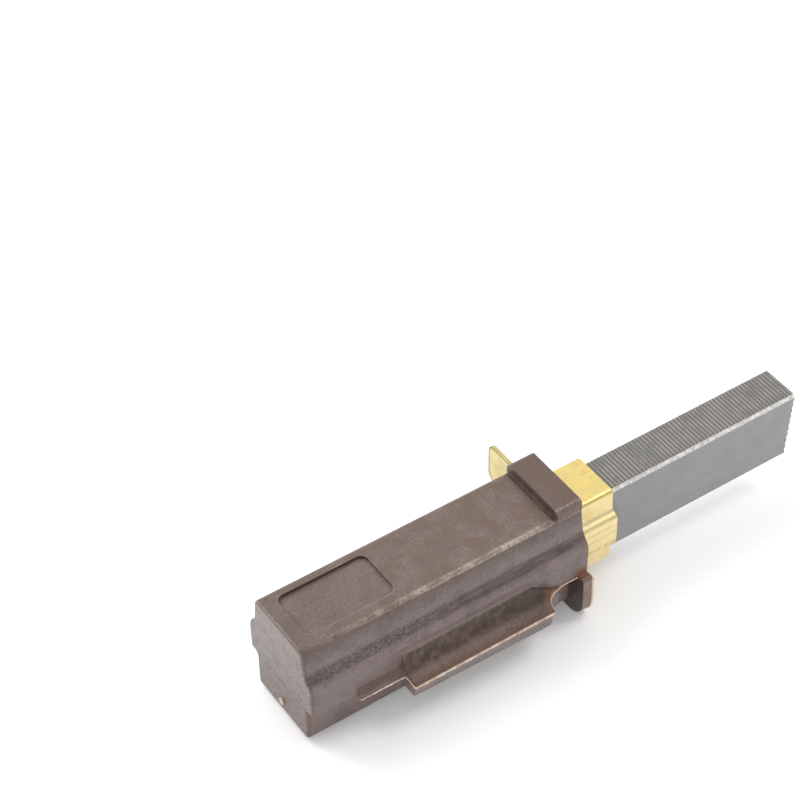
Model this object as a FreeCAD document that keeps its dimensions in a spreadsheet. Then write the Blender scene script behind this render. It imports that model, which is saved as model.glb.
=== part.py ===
import FreeCAD, Part
import math
import os
import Sketcher

# Carbon brush holder of a small commutator motor, in millimetres.
# X runs along the brush towards its contact tip, Z points out of the face with the
# moulded panel, and the origin is where the brush axis meets the seat of the flange.

SHEET_ROWS = [
    # Carbon block and its shunt
    ("brush_width", 6.1, "across the block, along Y"),
    ("brush_height", 11.0, "along Z"),
    ("brush_length", 43.0, "unworn block"),
    ("brush_reach", 30.7, "unworn block beyond the mouth of the guide"),
    ("brush_slant", 0.7, "how far the lower edge of the contact face lies back"),
    ("rib_pitch", 0.555, "pressed ribs across the narrow face"),
    ("rib_depth", 0.12, "grooves between the ribs"),
    ("rib_inset", 0.76, "first groove from the rear of the block"),
    ("bed_pitch", 1.05, "grooves across the contact face"),
    ("bed_depth", 0.18, "grooves across the contact face"),
    ("bed_inset", 1.3, "lowest groove from the lower face"),
    ("brush_chamfer", 0.5, "long edges"),
    ("brush_travel", 24.0, "from the rest stop back into the guide"),
    ("socket_depth", 6.0, "hole in the rear of the block for the shunt"),
    ("shunt_diameter", 1.6, "copper shunt"),
    # Guide
    ("guide_wall", 0.5, "brass sheet"),
    ("guide_play_side", 0.2, "between block and flat walls, along Y"),
    ("guide_play_top", 0.25, "between block and walls, along Z"),
    ("guide_corner", 0.7, "outer radius of the sheet's corners"),
    ("guide_reach", 6.2, "mouth beyond the front of the housing"),
    ("channel_depth", 1.2, "outward step of the side walls"),
    ("channel_flat", 3.6, "height of the flat of the side channel"),
    ("channel_ramp", 1.9, "height of each ramp beside that flat"),
    ("guide_lip", 1.3, "folded lips that close the rear"),
    # Spring and its seat
    ("spring_wire", 0.5, "round steel wire"),
    ("spring_coil", 4.9, "mean diameter of the coils"),
    ("spring_turns", 9.0, "active turns"),
    ("spring_dead", 1.0, "closed turns at each end"),
    ("seat_plate", 0.6, "stamped seat behind the spring"),
    ("seat_play", 0.1, "round the edge of the seat"),
    ("barrel_length", 2.2, "crimp barrel of the seat"),
    ("barrel_wall", 0.5, "crimp barrel of the seat"),
    # Terminal
    ("blade_width", 6.3, "push-on terminal"),
    ("blade_tip", 14.6, "from the brush axis, along Y"),
    ("blade_corner", 1.2, "rounded corners of the tip"),
    ("blade_hole", 2.2, "diameter of the latch hole"),
    ("blade_hole_from_tip", 5.0, "centre of the latch hole"),
    ("blade_shoulder", 2.1, "length of the sloped shoulder"),
    ("neck_low", 1.6, "neck below the brush axis"),
    ("neck_high", 1.05, "neck above the brush axis"),
    ("blade_bend", 0.5, "inner radius of the bend"),
    ("leg_length", 10.0, "leg along the guide, inside the housing"),
    # Housing
    ("body_length", 39.7, "rear end to the seat of the flange"),
    ("rear_wall", 1.6, "closed rear end"),
    ("cavity_play", 0.08, "round the guide"),
    ("parting_drop", 1.9, "parting plane below the brush axis"),
    ("panel_side_depth", 10.15, "parting plane to the panel face"),
    ("lug_side_depth", 5.5, "parting plane to the lug face"),
    ("panel_face_width", 10.6, "panel face"),
    ("panel_wall_width", 11.2, "upper wall where the ogee starts"),
    ("band_width", 14.0, "lower band above the parting plane"),
    ("ogee_low", 3.9, "band height above the parting plane"),
    ("ogee_high", 7.0, "upper end of the ogee"),
    ("panel_edge", 0.8, "radius along the panel face"),
    ("lug_side_width", 11.2, "half that carries the lug"),
    ("lug_side_edge", 0.4, "radius along the lug face"),
    ("ledge_fillet", 0.5, "between the lug half and the ledge"),
    ("collar_length", 3.8, "raised block at the front"),
    ("collar_height", 1.3, "raised block at the front"),
    ("flange_thickness", 1.5, "seat flange"),
    ("flange_width", 16.4, "seat flange"),
    ("flange_depth", 7.3, "below the parting plane"),
    ("flange_corner", 2.8, "lower corners of the flange"),
    ("flange_top_corner", 0.6, "upper corners of the flange"),
    ("wing_rear", 26.8, "rear end of the wings behind the seat"),
    ("wing_front", 5.9, "front end of the wings behind the seat"),
    ("wing_width", 20.2, "over both wings"),
    ("wing_depth", 3.1, "front end, below the parting plane"),
    ("wing_rise", 0.8, "how much thinner the rear end is"),
    ("wing_taper", 0.6, "inward slope of the wing's edge"),
    ("wing_edge", 0.15, "rim above the parting plane"),
    ("sweep_land", 0.1, "between the hollow above the wing and the band"),
    ("notch_land", 0.2, "between the round notch and the band"),
    ("runout_back", 1.7, "start of the run-out behind the front of the wings"),
    ("runout_short", 0.4, "end of the run-out behind the middle of the notch"),
    ("runout_below", 0.4, "start of the run-out below the top of the hollow"),
    ("rail_rear", 33.3, "rear end of the narrow rails"),
    ("rail_width", 15.7, "over both rails"),
    ("rail_height", 1.3, "above the parting plane"),
    ("recess_length", 12.6, "bare panel in the face"),
    ("recess_width", 7.2, "bare panel in the face"),
    ("recess_depth", 0.4, "bare panel in the face"),
    ("recess_corner", 1.0, "corners of the panel"),
    ("recess_rear", 2.2, "from the rear end"),
    ("recess_shift", 0.25, "sideways from the middle"),
    ("lug_length", 4.0, "small locating lug"),
    ("lug_width", 2.2, "small locating lug"),
    ("lug_height", 1.0, "small locating lug"),
    ("lug_rear", 15.5, "from the rear end"),
    ("pin_mark", 2.6, "diameter of the round marks on the wings"),
    ("pin_mark_depth", 0.12, "round marks on the wings"),
    ("pin_mark_inset", 2.0, "marks from the ends of the wing"),
    ("pin_mark_edge", 1.8, "marks from the outer edge of the wing"),
    ("gate_diameter", 1.0, "broken sprue on the rear end"),
    ("gate_height", 0.25, "broken sprue on the rear end"),
    ("gate_drop", 3.7, "sprue below the parting plane"),
]


# The spring is a chain of flat facets: corners round the wire, and steps in one turn.
RING_POINTS = 6
STEPS_PER_TURN = 12


class Size:
    """A length that carries its number together with the sheet formula it comes from."""

    def __init__(self, value, formula):
        self.value = float(value)
        self.formula = formula

    def joined(self, other, sign, value):
        return Size(value, "(%s %s %s)" % (self.formula, sign, other.formula))

    def __add__(self, other):
        other = as_size(other)
        return self.joined(other, "+", self.value + other.value)

    def __sub__(self, other):
        other = as_size(other)
        return self.joined(other, "-", self.value - other.value)

    def __mul__(self, other):
        other = as_size(other)
        return self.joined(other, "*", self.value * other.value)

    def __truediv__(self, other):
        other = as_size(other)
        return self.joined(other, "/", self.value / other.value)

    def __neg__(self):
        return Size(-self.value, "(-1 * %s)" % self.formula)


def as_size(thing):
    if isinstance(thing, Size):
        return thing
    return Size(thing, repr(float(thing)))


def make_sheet(doc):
    """Fill the sheet with the driving sizes and return them by name."""
    sheet = doc.addObject("Spreadsheet::Sheet", "Sizes")
    sizes = {}
    for row, (name, value, note) in enumerate(SHEET_ROWS, start=1):
        sheet.set("A%d" % row, name)
        sheet.set("B%d" % row, str(value))
        sheet.set("C%d" % row, note)
        sheet.setAlias("B%d" % row, name)
        sizes[name] = Size(value, "Sizes." + name)
    doc.recompute()
    return sizes


def bind(thing, prop, size):
    thing.setExpression(prop, as_size(size).formula)


def make_body(doc, label, place=None):
    """One sub-part: a body with its own label, set at its place along X."""
    body = doc.addObject("PartDesign::Body", label)
    body.Label = label
    if place is not None:
        bind(body, "Placement.Base.x", place)
    return body


def origin_plane(body, role):
    for feature in body.Origin.OriginFeatures:
        if feature.Role == role:
            return feature
    raise ValueError("no plane " + role)


def make_sketch(body, name, role, offset=None):
    """A sketch on one of the body's own planes, moved along its normal."""
    sketch = body.newObject("Sketcher::SketchObject", name)
    sketch.AttachmentSupport = [(origin_plane(body, role), "")]
    sketch.MapMode = "FlatFace"
    if offset is not None:
        bind(sketch, "AttachmentOffset.Base.z", offset)
    return sketch


def pin_point(sketch, edge, end, point):
    """Hold one end of an edge at a point whose two coordinates are sizes."""
    for kind, size in (("DistanceX", point[0]), ("DistanceY", point[1])):
        size = as_size(size)
        number = sketch.addConstraint(Sketcher.Constraint(kind, -1, 1, edge, end, size.value))
        sketch.setExpression("Constraints[%d]" % number, size.formula)


def arc_between(start, end, radius, turn):
    """The short arc of this radius from start to end; turn is +1 to the left, -1 to the right."""
    chord = end - start
    half = chord.Length / 2
    rise = max(radius * radius - half * half, 0.0) ** 0.5
    side = FreeCAD.Vector(-chord.y, chord.x, 0)
    side.normalize()
    centre = (start + end) / 2 + side * (rise * turn)
    middle = centre - side * (radius * turn)
    return Part.Arc(start, middle, end)


def draw_outline(sketch, corners, bends=None):
    """Closed outline. bends maps a corner's number to (radius, turn) of the arc that leaves it."""
    bends = bends or {}
    count = len(corners)
    points = [FreeCAD.Vector(as_size(u).value, as_size(v).value, 0) for u, v in corners]
    starts = []
    for index in range(count):
        start = points[index]
        end = points[(index + 1) % count]
        if index in bends:
            radius, turn = bends[index]
            arc = arc_between(start, end, as_size(radius).value, turn)
            edge = sketch.addGeometry(arc, False)
            first, last = (1, 2) if turn > 0 else (2, 1)
        else:
            edge = sketch.addGeometry(Part.LineSegment(start, end), False)
            first, last = 1, 2
        starts.append((edge, first, last))
    for index in range(count):
        edge, first, last = starts[index]
        after, after_first, _ = starts[(index + 1) % count]
        sketch.addConstraint(Sketcher.Constraint("Coincident", edge, last, after, after_first))
        pin_point(sketch, edge, first, corners[index])
        if index in bends:
            radius = as_size(bends[index][0])
            number = sketch.addConstraint(Sketcher.Constraint("Radius", edge, radius.value))
            sketch.setExpression("Constraints[%d]" % number, radius.formula)


def draw_circle(sketch, centre, radius):
    point = FreeCAD.Vector(as_size(centre[0]).value, as_size(centre[1]).value, 0)
    radius = as_size(radius)
    edge = sketch.addGeometry(Part.Circle(point, FreeCAD.Vector(0, 0, 1), radius.value), False)
    pin_point(sketch, edge, 3, centre)
    number = sketch.addConstraint(Sketcher.Constraint("Radius", edge, radius.value))
    sketch.setExpression("Constraints[%d]" % number, radius.formula)


def draw_box(sketch, low, high, corner=None):
    """Rectangle between two corners, with round corners where a radius is given."""
    (u0, v0), (u1, v1) = low, high
    if corner is None:
        draw_outline(sketch, [(u0, v0), (u1, v0), (u1, v1), (u0, v1)])
        return
    r = corner
    corners = [
        (u0 + r, v0), (u1 - r, v0), (u1, v0 + r), (u1, v1 - r),
        (u1 - r, v1), (u0 + r, v1), (u0, v1 - r), (u0, v0 + r),
    ]
    draw_outline(sketch, corners, {1: (r, 1), 3: (r, 1), 5: (r, 1), 7: (r, 1)})


def pad(body, sketch, length, name, reverse=False):
    feature = body.newObject("PartDesign::Pad", name)
    feature.Profile = sketch
    feature.Reversed = reverse
    bind(feature, "Length", length)
    return feature


def pocket(doc, body, sketch, length, name, reverse=False):
    """Cut a sketch into the body and make sure that it took something away."""
    before = volume_of(doc, body)
    feature = body.newObject("PartDesign::Pocket", name)
    feature.Profile = sketch
    feature.Reversed = reverse
    bind(feature, "Length", length)
    after = volume_of(doc, body)
    if after >= before:
        raise ValueError("nothing was cut by " + name)
    return feature


def volume_of(doc, body):
    doc.recompute()
    return body.Shape.Volume


def edges_along_x(shape, length, accept):
    """Names of the straight edges along X of at least this length that accept chooses."""
    names = []
    for number, edge in enumerate(shape.Edges, start=1):
        if edge.Curve.TypeId != "Part::GeomLine":
            continue
        run = edge.Vertexes[-1].Point - edge.Vertexes[0].Point
        if abs(run.x) >= length and abs(run.x) > run.Length * 0.999 and accept(edge.CenterOfMass):
            names.append("Edge%d" % number)
    return names


def guide_half_height(s):
    return s["brush_height"] / 2 + s["guide_play_top"] + s["guide_wall"]


def guide_half_width(s):
    return s["brush_width"] / 2 + s["guide_play_side"] + s["guide_wall"]


def mouth_place(s):
    return s["flange_thickness"] + s["guide_reach"]


def cavity_floor(s):
    return s["rear_wall"] - s["body_length"]


def seat_front(s):
    """The face that the spring pushes on."""
    return cavity_floor(s) + s["cavity_play"] + s["guide_wall"] + s["seat_plate"]


def brush_rear(s):
    return mouth_place(s) + s["brush_reach"] - s["brush_length"]


def sweep_radius(s):
    """Radius of the hollow above each wing, as wide as the wing stands out of the band."""
    return (s["wing_width"] - s["band_width"]) / 2 - s["sweep_land"]


def notch_radius(s):
    return (s["wing_width"] - s["band_width"]) / 2 - s["notch_land"]


def notch_middle(s):
    """Place of the middle of the notches along X."""
    return notch_radius(s) - s["wing_front"]


def draw_guide_section(sketch, s, grow):
    """Outline of the guide in the YZ plane, moved outwards by grow: a flat band, a ramp out
    to the channel, the channel's flat, a ramp back and a flat band, on both sides."""
    top = guide_half_height(s) + grow
    side = guide_half_width(s) + grow
    channel = side + s["channel_depth"]
    flat = s["channel_flat"] / 2 + grow / 2
    ramp = flat + s["channel_ramp"]
    r = s["guide_corner"] + grow
    step_out = s["channel_depth"]
    rise = s["channel_ramp"]
    bow = (step_out * step_out + rise * rise) / (step_out * 4)
    middle = side + step_out / 2
    halfway = flat + rise / 2
    corners = [
        (side - r, top), (r - side, top), (-side, top - r),
        (-side, ramp), (-middle, halfway), (-channel, flat),
        (-channel, -flat), (-middle, -halfway), (-side, -ramp),
        (-side, r - top), (r - side, -top), (side - r, -top),
        (side, r - top), (side, -ramp), (middle, -halfway),
        (channel, -flat), (channel, flat), (middle, halfway),
        (side, ramp), (side, top - r),
    ]
    bends = {
        1: (r, 1), 9: (r, 1), 11: (r, 1), 19: (r, 1),
        3: (bow, -1), 4: (bow, 1), 6: (bow, 1), 7: (bow, -1),
        13: (bow, -1), 14: (bow, 1), 16: (bow, 1), 17: (bow, -1),
    }
    draw_outline(sketch, corners, bends)


def slant_at(s, height):
    """How far the contact face lies back at this height above the brush axis."""
    return s["brush_slant"] * (s["brush_height"] / 2 - height) / s["brush_height"]


def cut_contact_face(doc, body, s):
    """Slant the contact face and cut the grooves that let a new block bed in quickly."""
    length = s["brush_length"]
    half = s["brush_height"] / 2
    side = s["brush_width"] / 2
    slant = make_sketch(body, "contact_slant", "XZ_Plane", side)
    draw_outline(slant, [(length, half), (length - s["brush_slant"], -half), (length, -half)])
    pocket(doc, body, slant, s["brush_width"], "slant_cut")
    grooves = make_sketch(body, "bed_grooves", "XZ_Plane", side)
    count = int((s["brush_height"].value - s["bed_inset"].value) / s["bed_pitch"].value)
    wide = s["bed_pitch"] / 4
    for number in range(count):
        middle = s["bed_inset"] - half + s["bed_pitch"] * number
        draw_outline(grooves, [
            (length - slant_at(s, middle - wide), middle - wide),
            (length - slant_at(s, middle + wide), middle + wide),
            (length - slant_at(s, middle) - s["bed_depth"], middle),
        ])
    pocket(doc, body, grooves, s["brush_width"], "bed_cuts")


def cut_ribs(doc, body, s):
    """Grooves across the narrow face on the panel side, which leave ribs between them."""
    top = s["brush_height"] / 2
    start = s["rib_inset"]
    wide = s["rib_pitch"] / 3
    groove = make_sketch(body, "rib_groove", "XZ_Plane", s["brush_width"] / 2)
    draw_outline(groove, [(start - wide, top), (start, top - s["rib_depth"]), (start + wide, top)])
    cut = pocket(doc, body, groove, s["brush_width"], "rib_cut")
    before = volume_of(doc, body)
    steps = "floor(%s)" % ((s["brush_length"] - s["rib_inset"] * 2) / s["rib_pitch"]).formula
    ribs = body.newObject("PartDesign::LinearPattern", "ribs")
    ribs.Originals = [cut]
    ribs.Direction = (groove, ["H_Axis"])
    ribs.setExpression("Length", "Sizes.rib_pitch * " + steps)
    ribs.setExpression("Occurrences", steps + " + 1")
    body.Tip = ribs
    if volume_of(doc, body) >= before:
        raise ValueError("the rib grooves were not repeated")


def make_brush(doc, s):
    """Carbon block with chamfered long edges, ribs across one narrow face, a slanted
    contact face and the shunt's socket in its rear."""
    body = make_body(doc, "carbon_brush", brush_rear(s))
    half_width = s["brush_width"] / 2
    half_height = s["brush_height"] / 2
    section = make_sketch(body, "brush_section", "YZ_Plane")
    draw_box(section, (-half_width, -half_height), (half_width, half_height))
    block = pad(body, section, s["brush_length"], "brush_block")
    doc.recompute()
    long_edges = edges_along_x(block.Shape, s["brush_length"].value * 0.9, lambda c: True)
    chamfer = body.newObject("PartDesign::Chamfer", "brush_edges")
    chamfer.Base = (block, long_edges)
    bind(chamfer, "Size", s["brush_chamfer"])
    body.Tip = chamfer
    doc.recompute()
    cut_contact_face(doc, body, s)
    cut_ribs(doc, body, s)
    socket = make_sketch(body, "shunt_socket", "YZ_Plane")
    draw_circle(socket, (0.0, 0.0), s["shunt_diameter"] / 2)
    pocket(doc, body, socket, s["socket_depth"], "shunt_hole", True)
    return body


def make_shunt(doc, s):
    """Flexible copper shunt from the socket in the block to the crimp barrel of the seat."""
    start = seat_front(s) - s["seat_plate"]
    end = brush_rear(s) + s["socket_depth"]
    wire = doc.addObject("Part::Cylinder", "shunt_wire")
    wire.Label = "shunt_wire"
    bind(wire, "Radius", s["shunt_diameter"] / 2)
    bind(wire, "Height", end - start)
    wire.Placement = FreeCAD.Placement(FreeCAD.Vector(0, 0, 0), FreeCAD.Rotation(FreeCAD.Vector(0, 1, 0), 90))
    bind(wire, "Placement.Base.x", start)
    return wire


def coil_height(s, turn, length):
    """How far along the spring a turn has come: closed turns at both ends, open ones between."""
    wire = s["spring_wire"].value
    dead = s["spring_dead"].value
    active = s["spring_turns"].value
    open_pitch = (length - 2 * dead * wire) / active
    if turn < dead:
        return turn * wire
    if turn < dead + active:
        return dead * wire + (turn - dead) * open_pitch
    return length - (2 * dead + active - turn) * wire


def coil_ring(s, turn, length):
    """Six points round the wire, in the plane through the spring's axis at this turn."""
    angle = turn * 2 * math.pi
    centre = s["spring_coil"].value / 2
    wire = s["spring_wire"].value / 2
    ring = []
    for corner in range(RING_POINTS):
        round_wire = corner * 2 * math.pi / RING_POINTS
        radius = centre + wire * math.cos(round_wire)
        height = coil_height(s, turn, length) + wire * math.sin(round_wire)
        ring.append(FreeCAD.Vector(height, radius * math.cos(angle), radius * math.sin(angle)))
    return ring


def triangle(a, b, c):
    return Part.Face(Part.makePolygon([a, b, c, a]))


def make_spring(doc, s):
    """Compression spring between the seat and the rear of the block, with flat facets."""
    wire = s["spring_wire"].value
    start = seat_front(s).value + wire / 2
    length = brush_rear(s).value - wire / 2 - start
    turns = s["spring_turns"].value + 2 * s["spring_dead"].value
    steps = int(turns * STEPS_PER_TURN)
    rings = [coil_ring(s, step / STEPS_PER_TURN, length) for step in range(steps + 1)]
    faces = []
    for here, there in zip(rings[:-1], rings[1:]):
        for corner in range(RING_POINTS):
            after = (corner + 1) % RING_POINTS
            faces.append(triangle(here[corner], here[after], there[after]))
            faces.append(triangle(here[corner], there[after], there[corner]))
    for ring in (rings[0], rings[-1]):
        faces.append(Part.Face(Part.makePolygon(ring + [ring[0]])))
    coil = Part.makeSolid(Part.makeShell(faces))
    if coil.Volume < 0:
        coil.reverse()
    spring = doc.addObject("Part::Feature", "brush_spring")
    spring.Label = "brush_spring"
    spring.Shape = coil
    spring.Placement = FreeCAD.Placement(FreeCAD.Vector(start, 0, 0), FreeCAD.Rotation())
    return spring


def make_seat(doc, s):
    """Stamped plate that closes the guide behind the spring, with the barrel that is
    crimped round the shunt."""
    body = make_body(doc, "spring_seat", seat_front(s) - s["seat_plate"])
    half_width = guide_half_width(s) - s["guide_wall"] - s["seat_play"]
    half_height = guide_half_height(s) - s["guide_wall"] - s["seat_play"]
    plate = make_sketch(body, "plate_outline", "YZ_Plane")
    draw_box(plate, (-half_width, -half_height), (half_width, half_height))
    pad(body, plate, s["seat_plate"], "plate")
    barrel = make_sketch(body, "barrel_outline", "YZ_Plane")
    draw_circle(barrel, (0.0, 0.0), s["shunt_diameter"] / 2 + s["barrel_wall"])
    pad(body, barrel, s["seat_plate"] + s["barrel_length"], "barrel")
    bore = make_sketch(body, "barrel_bore", "YZ_Plane")
    draw_circle(bore, (0.0, 0.0), s["shunt_diameter"] / 2)
    pocket(doc, body, bore, s["seat_plate"] + s["barrel_length"], "shunt_way", True)
    return body


def make_guide(doc, s):
    """Brass guide: one folded sheet with a channel down each side for the shunt, and two
    lips folded in behind the seat."""
    rear = cavity_floor(s) + s["cavity_play"]
    length = mouth_place(s) - rear
    body = make_body(doc, "guide_tube", rear)
    outer = make_sketch(body, "guide_outside", "YZ_Plane")
    draw_guide_section(outer, s, as_size(0.0))
    pad(body, outer, length, "guide_sheet")
    inner = make_sketch(body, "guide_inside", "YZ_Plane")
    draw_guide_section(inner, s, -s["guide_wall"])
    pocket(doc, body, inner, length, "guide_way", True)
    half_height = guide_half_height(s) - s["guide_wall"] / 2
    half_width = guide_half_width(s) - s["guide_corner"]
    for name, low, high in (
        ("lip_top", half_height - s["guide_lip"], half_height),
        ("lip_bottom", -half_height, s["guide_lip"] - half_height),
    ):
        lip = make_sketch(body, name, "YZ_Plane")
        draw_box(lip, (-half_width, low), (half_width, high))
        pad(body, lip, s["guide_wall"], name + "_fold")
    return body


def make_terminal(doc, s):
    """Push-on blade: a leg along the guide's channel, a bend at the front of the housing,
    a neck, a shoulder and a blade with its latch hole."""
    body = make_body(doc, "terminal_blade", s["flange_thickness"])
    wall = s["guide_wall"]
    against = guide_half_width(s) + s["channel_depth"]
    bend_out = s["blade_bend"] + wall
    front = s["cavity_play"] + wall
    leg = make_sketch(body, "leg_and_bend", "XY_Plane", -s["neck_low"])
    corners = [
        (-s["leg_length"], against), (front - bend_out, against),
        (front, against + bend_out), (front - wall, against + bend_out),
        (front - bend_out, against + wall), (-s["leg_length"], against + wall),
    ]
    draw_outline(leg, corners, {1: (bend_out, 1), 3: (s["blade_bend"], -1)})
    pad(body, leg, s["neck_low"] + s["neck_high"], "leg")
    half = s["blade_width"] / 2
    neck = against + bend_out
    shoulder = neck + s["blade_bend"]
    tip = s["blade_tip"]
    r = s["blade_corner"]
    blade = make_sketch(body, "blade_outline", "YZ_Plane", front - wall)
    outline = [
        (neck, -s["neck_low"]), (shoulder, -s["neck_low"]), (shoulder, -half),
        (tip - r, -half), (tip, r - half), (tip, half - r), (tip - r, half),
        (shoulder + s["blade_shoulder"], half), (shoulder, s["neck_high"]), (neck, s["neck_high"]),
    ]
    draw_outline(blade, outline, {3: (r, 1), 5: (r, 1)})
    pad(body, blade, wall, "blade")
    hole = make_sketch(body, "latch_hole", "YZ_Plane", front - wall)
    draw_circle(hole, (tip - s["blade_hole_from_tip"], 0.0), s["blade_hole"] / 2)
    pocket(doc, body, hole, wall, "latch", True)
    return body


def draw_panel_half(sketch, s):
    """Upper half of the housing: band, ogee, upper wall and rounded long edges."""
    parting = -s["parting_drop"]
    top = parting + s["panel_side_depth"]
    band = s["band_width"] / 2
    wall = s["panel_wall_width"] / 2
    face = s["panel_face_width"] / 2
    low = parting + s["ogee_low"]
    high = parting + s["ogee_high"]
    step = band - wall
    rise = s["ogee_high"] - s["ogee_low"]
    bow = (step * step + rise * rise) / (step * 4)
    middle = (band + wall) / 2
    halfway = (low + high) / 2
    r = s["panel_edge"]
    corners = [
        (-band, parting), (band, parting), (band, low), (middle, halfway), (wall, high),
        (face, top - r), (face - r, top), (r - face, top), (-face, top - r),
        (-wall, high), (-middle, halfway), (-band, low),
    ]
    bends = {2: (bow, 1), 3: (bow, -1), 5: (r, 1), 7: (r, 1), 9: (bow, -1), 10: (bow, 1)}
    draw_outline(sketch, corners, bends)


def draw_lug_half(sketch, s):
    """Lower half of the housing, with a small hollow fillet up to the ledge."""
    parting = -s["parting_drop"]
    side = s["lug_side_width"] / 2
    low = parting - s["lug_side_depth"]
    f = s["ledge_fillet"]
    r = s["lug_side_edge"]
    corners = [
        (-side - f, parting), (-side, parting - f), (-side, low + r), (r - side, low),
        (side - r, low), (side, low + r), (side, parting - f), (side + f, parting),
    ]
    draw_outline(sketch, corners, {0: (f, -1), 2: (r, 1), 4: (r, 1), 6: (f, -1)})


def wing_outline(s, side):
    """Section of one wing: flat underneath, a tapered edge, a thin rim at the parting plane
    and a hollow sweep up to the side of the housing."""
    parting = -s["parting_drop"]
    edge = s["wing_width"] / 2
    root = s["lug_side_width"] / 2 - s["ledge_fillet"]
    rim = parting + s["wing_edge"]
    sweep = sweep_radius(s)
    low = parting - s["wing_depth"]
    points = [
        (root, low), (edge - s["wing_taper"], low), (edge, parting),
        (edge, rim), (edge - sweep, rim + sweep), (root, rim + sweep),
    ]
    return [(y * side, z) for y, z in points]


def add_wings(doc, body, s):
    """Both wings with the notch at their front and the narrow rail that leads to them."""
    rear = -s["wing_rear"]
    notch = notch_radius(s)
    front = notch_middle(s)
    parting = -s["parting_drop"]
    edge = s["wing_width"] / 2
    for side, word in ((1.0, "left"), (-1.0, "right")):
        section = make_sketch(body, "wing_section_" + word, "YZ_Plane", rear)
        draw_outline(section, wing_outline(s, side), {3: (sweep_radius(s), -side)})
        pad(body, section, front - rear, "wing_" + word)
        rail = make_sketch(body, "rail_section_" + word, "YZ_Plane", -s["rail_rear"])
        inner = (s["band_width"] / 2 - s["rail_height"] / 2) * side
        outer = (s["rail_width"] / 2) * side
        slope = (s["band_width"] / 2) * side
        draw_outline(rail, [
            (inner, parting), (outer, parting), (outer, parting + s["rail_height"] / 2),
            (slope, parting + s["rail_height"]), (inner, parting + s["rail_height"]),
        ])
        pad(body, rail, s["rail_rear"] - s["wing_rear"], "rail_" + word)
    for side, word in ((1.0, "left"), (-1.0, "right")):
        round_cut = make_sketch(body, "notch_" + word, "XY_Plane", parting + s["panel_side_depth"])
        draw_circle(round_cut, (front, edge * side), notch)
        pocket(doc, body, round_cut, s["panel_side_depth"] + s["wing_depth"] * 2, "notch_cut_" + word)
    run_out_hollows(doc, body, s)
    slope_undersides(doc, body, s)


def slope_undersides(doc, body, s):
    """Thin the wings from underneath towards their rear ends."""
    low = -s["parting_drop"] - s["wing_depth"]
    root = s["lug_side_width"] / 2
    front = notch_middle(s)
    for side, word in ((1.0, "left"), (-1.0, "right")):
        wedge = make_sketch(body, "underside_" + word, "XZ_Plane", root * -side)
        draw_outline(wedge, [(-s["wing_rear"], low), (front, low), (-s["wing_rear"], low + s["wing_rise"])])
        pocket(doc, body, wedge, s["wing_width"] / 2 - root, "underside_cut_" + word, side < 0)


def run_out_hollows(doc, body, s):
    """Slope the hollows down to the rim of the wings just before the notches."""
    rim = s["wing_edge"] - s["parting_drop"]
    sweep = sweep_radius(s)
    top = rim + sweep - s["runout_below"]
    start = -s["wing_front"] - s["runout_back"]
    end = notch_middle(s) - s["runout_short"]
    band = s["band_width"] / 2
    for side, word in ((1.0, "left"), (-1.0, "right")):
        slope = make_sketch(body, "runout_" + word, "XZ_Plane", band * -side)
        draw_outline(slope, [
            (start, top), (end, rim), (0.0, rim), (0.0, top + sweep), (start, top + sweep),
        ])
        depth = s["wing_width"] / 2 - band
        pocket(doc, body, slope, depth, "runout_cut_" + word, side < 0)


def add_pin_marks(doc, body, s):
    """Round marks that the ejector pins left under the wings, two on each."""
    low = -s["parting_drop"] - s["wing_depth"]
    span = s["wing_rear"] + notch_middle(s)
    offset = s["wing_width"] / 2 - s["pin_mark_edge"]
    places = (
        ("rear", s["pin_mark_inset"] - s["wing_rear"]),
        ("front", -s["wing_front"] - s["pin_mark_inset"] / 2),
    )
    for word, along in places:
        marks = make_sketch(body, "pin_marks_" + word, "XY_Plane", low)
        for side in (1.0, -1.0):
            draw_circle(marks, (along, offset * side), s["pin_mark"] / 2)
        middle = s["wing_rise"] * (notch_middle(s) - along) / span
        pocket(doc, body, marks, middle + s["pin_mark_depth"], "pin_mark_cuts_" + word, True)


def add_front(body, s):
    """Raised collar on the panel face and the seat flange round the lower half."""
    parting = -s["parting_drop"]
    top = parting + s["panel_side_depth"]
    face = s["panel_face_width"] / 2
    collar = make_sketch(body, "collar_outline", "YZ_Plane", s["flange_thickness"] - s["collar_length"])
    draw_outline(collar, [
        (face, top - s["panel_edge"]), (face, top + s["collar_height"] - s["panel_edge"]),
        (face - s["panel_edge"], top + s["collar_height"]), (s["panel_edge"] - face, top + s["collar_height"]),
        (-face, top + s["collar_height"] - s["panel_edge"]), (-face, top - s["panel_edge"]),
    ], {1: (s["panel_edge"], 1), 3: (s["panel_edge"], 1)})
    pad(body, collar, s["collar_length"], "collar")
    wide = s["flange_width"] / 2
    low = parting - s["flange_depth"]
    r = s["flange_corner"]
    t = s["flange_top_corner"]
    flange = make_sketch(body, "flange_outline", "YZ_Plane")
    draw_outline(flange, [
        (t - wide, parting), (-wide, parting - t), (-wide, low + r), (r - wide, low),
        (wide - r, low), (wide, low + r), (wide, parting - t), (wide - t, parting),
    ], {0: (t, 1), 2: (r, 1), 4: (r, 1), 6: (t, 1)})
    pad(body, flange, s["flange_thickness"], "flange")


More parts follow.
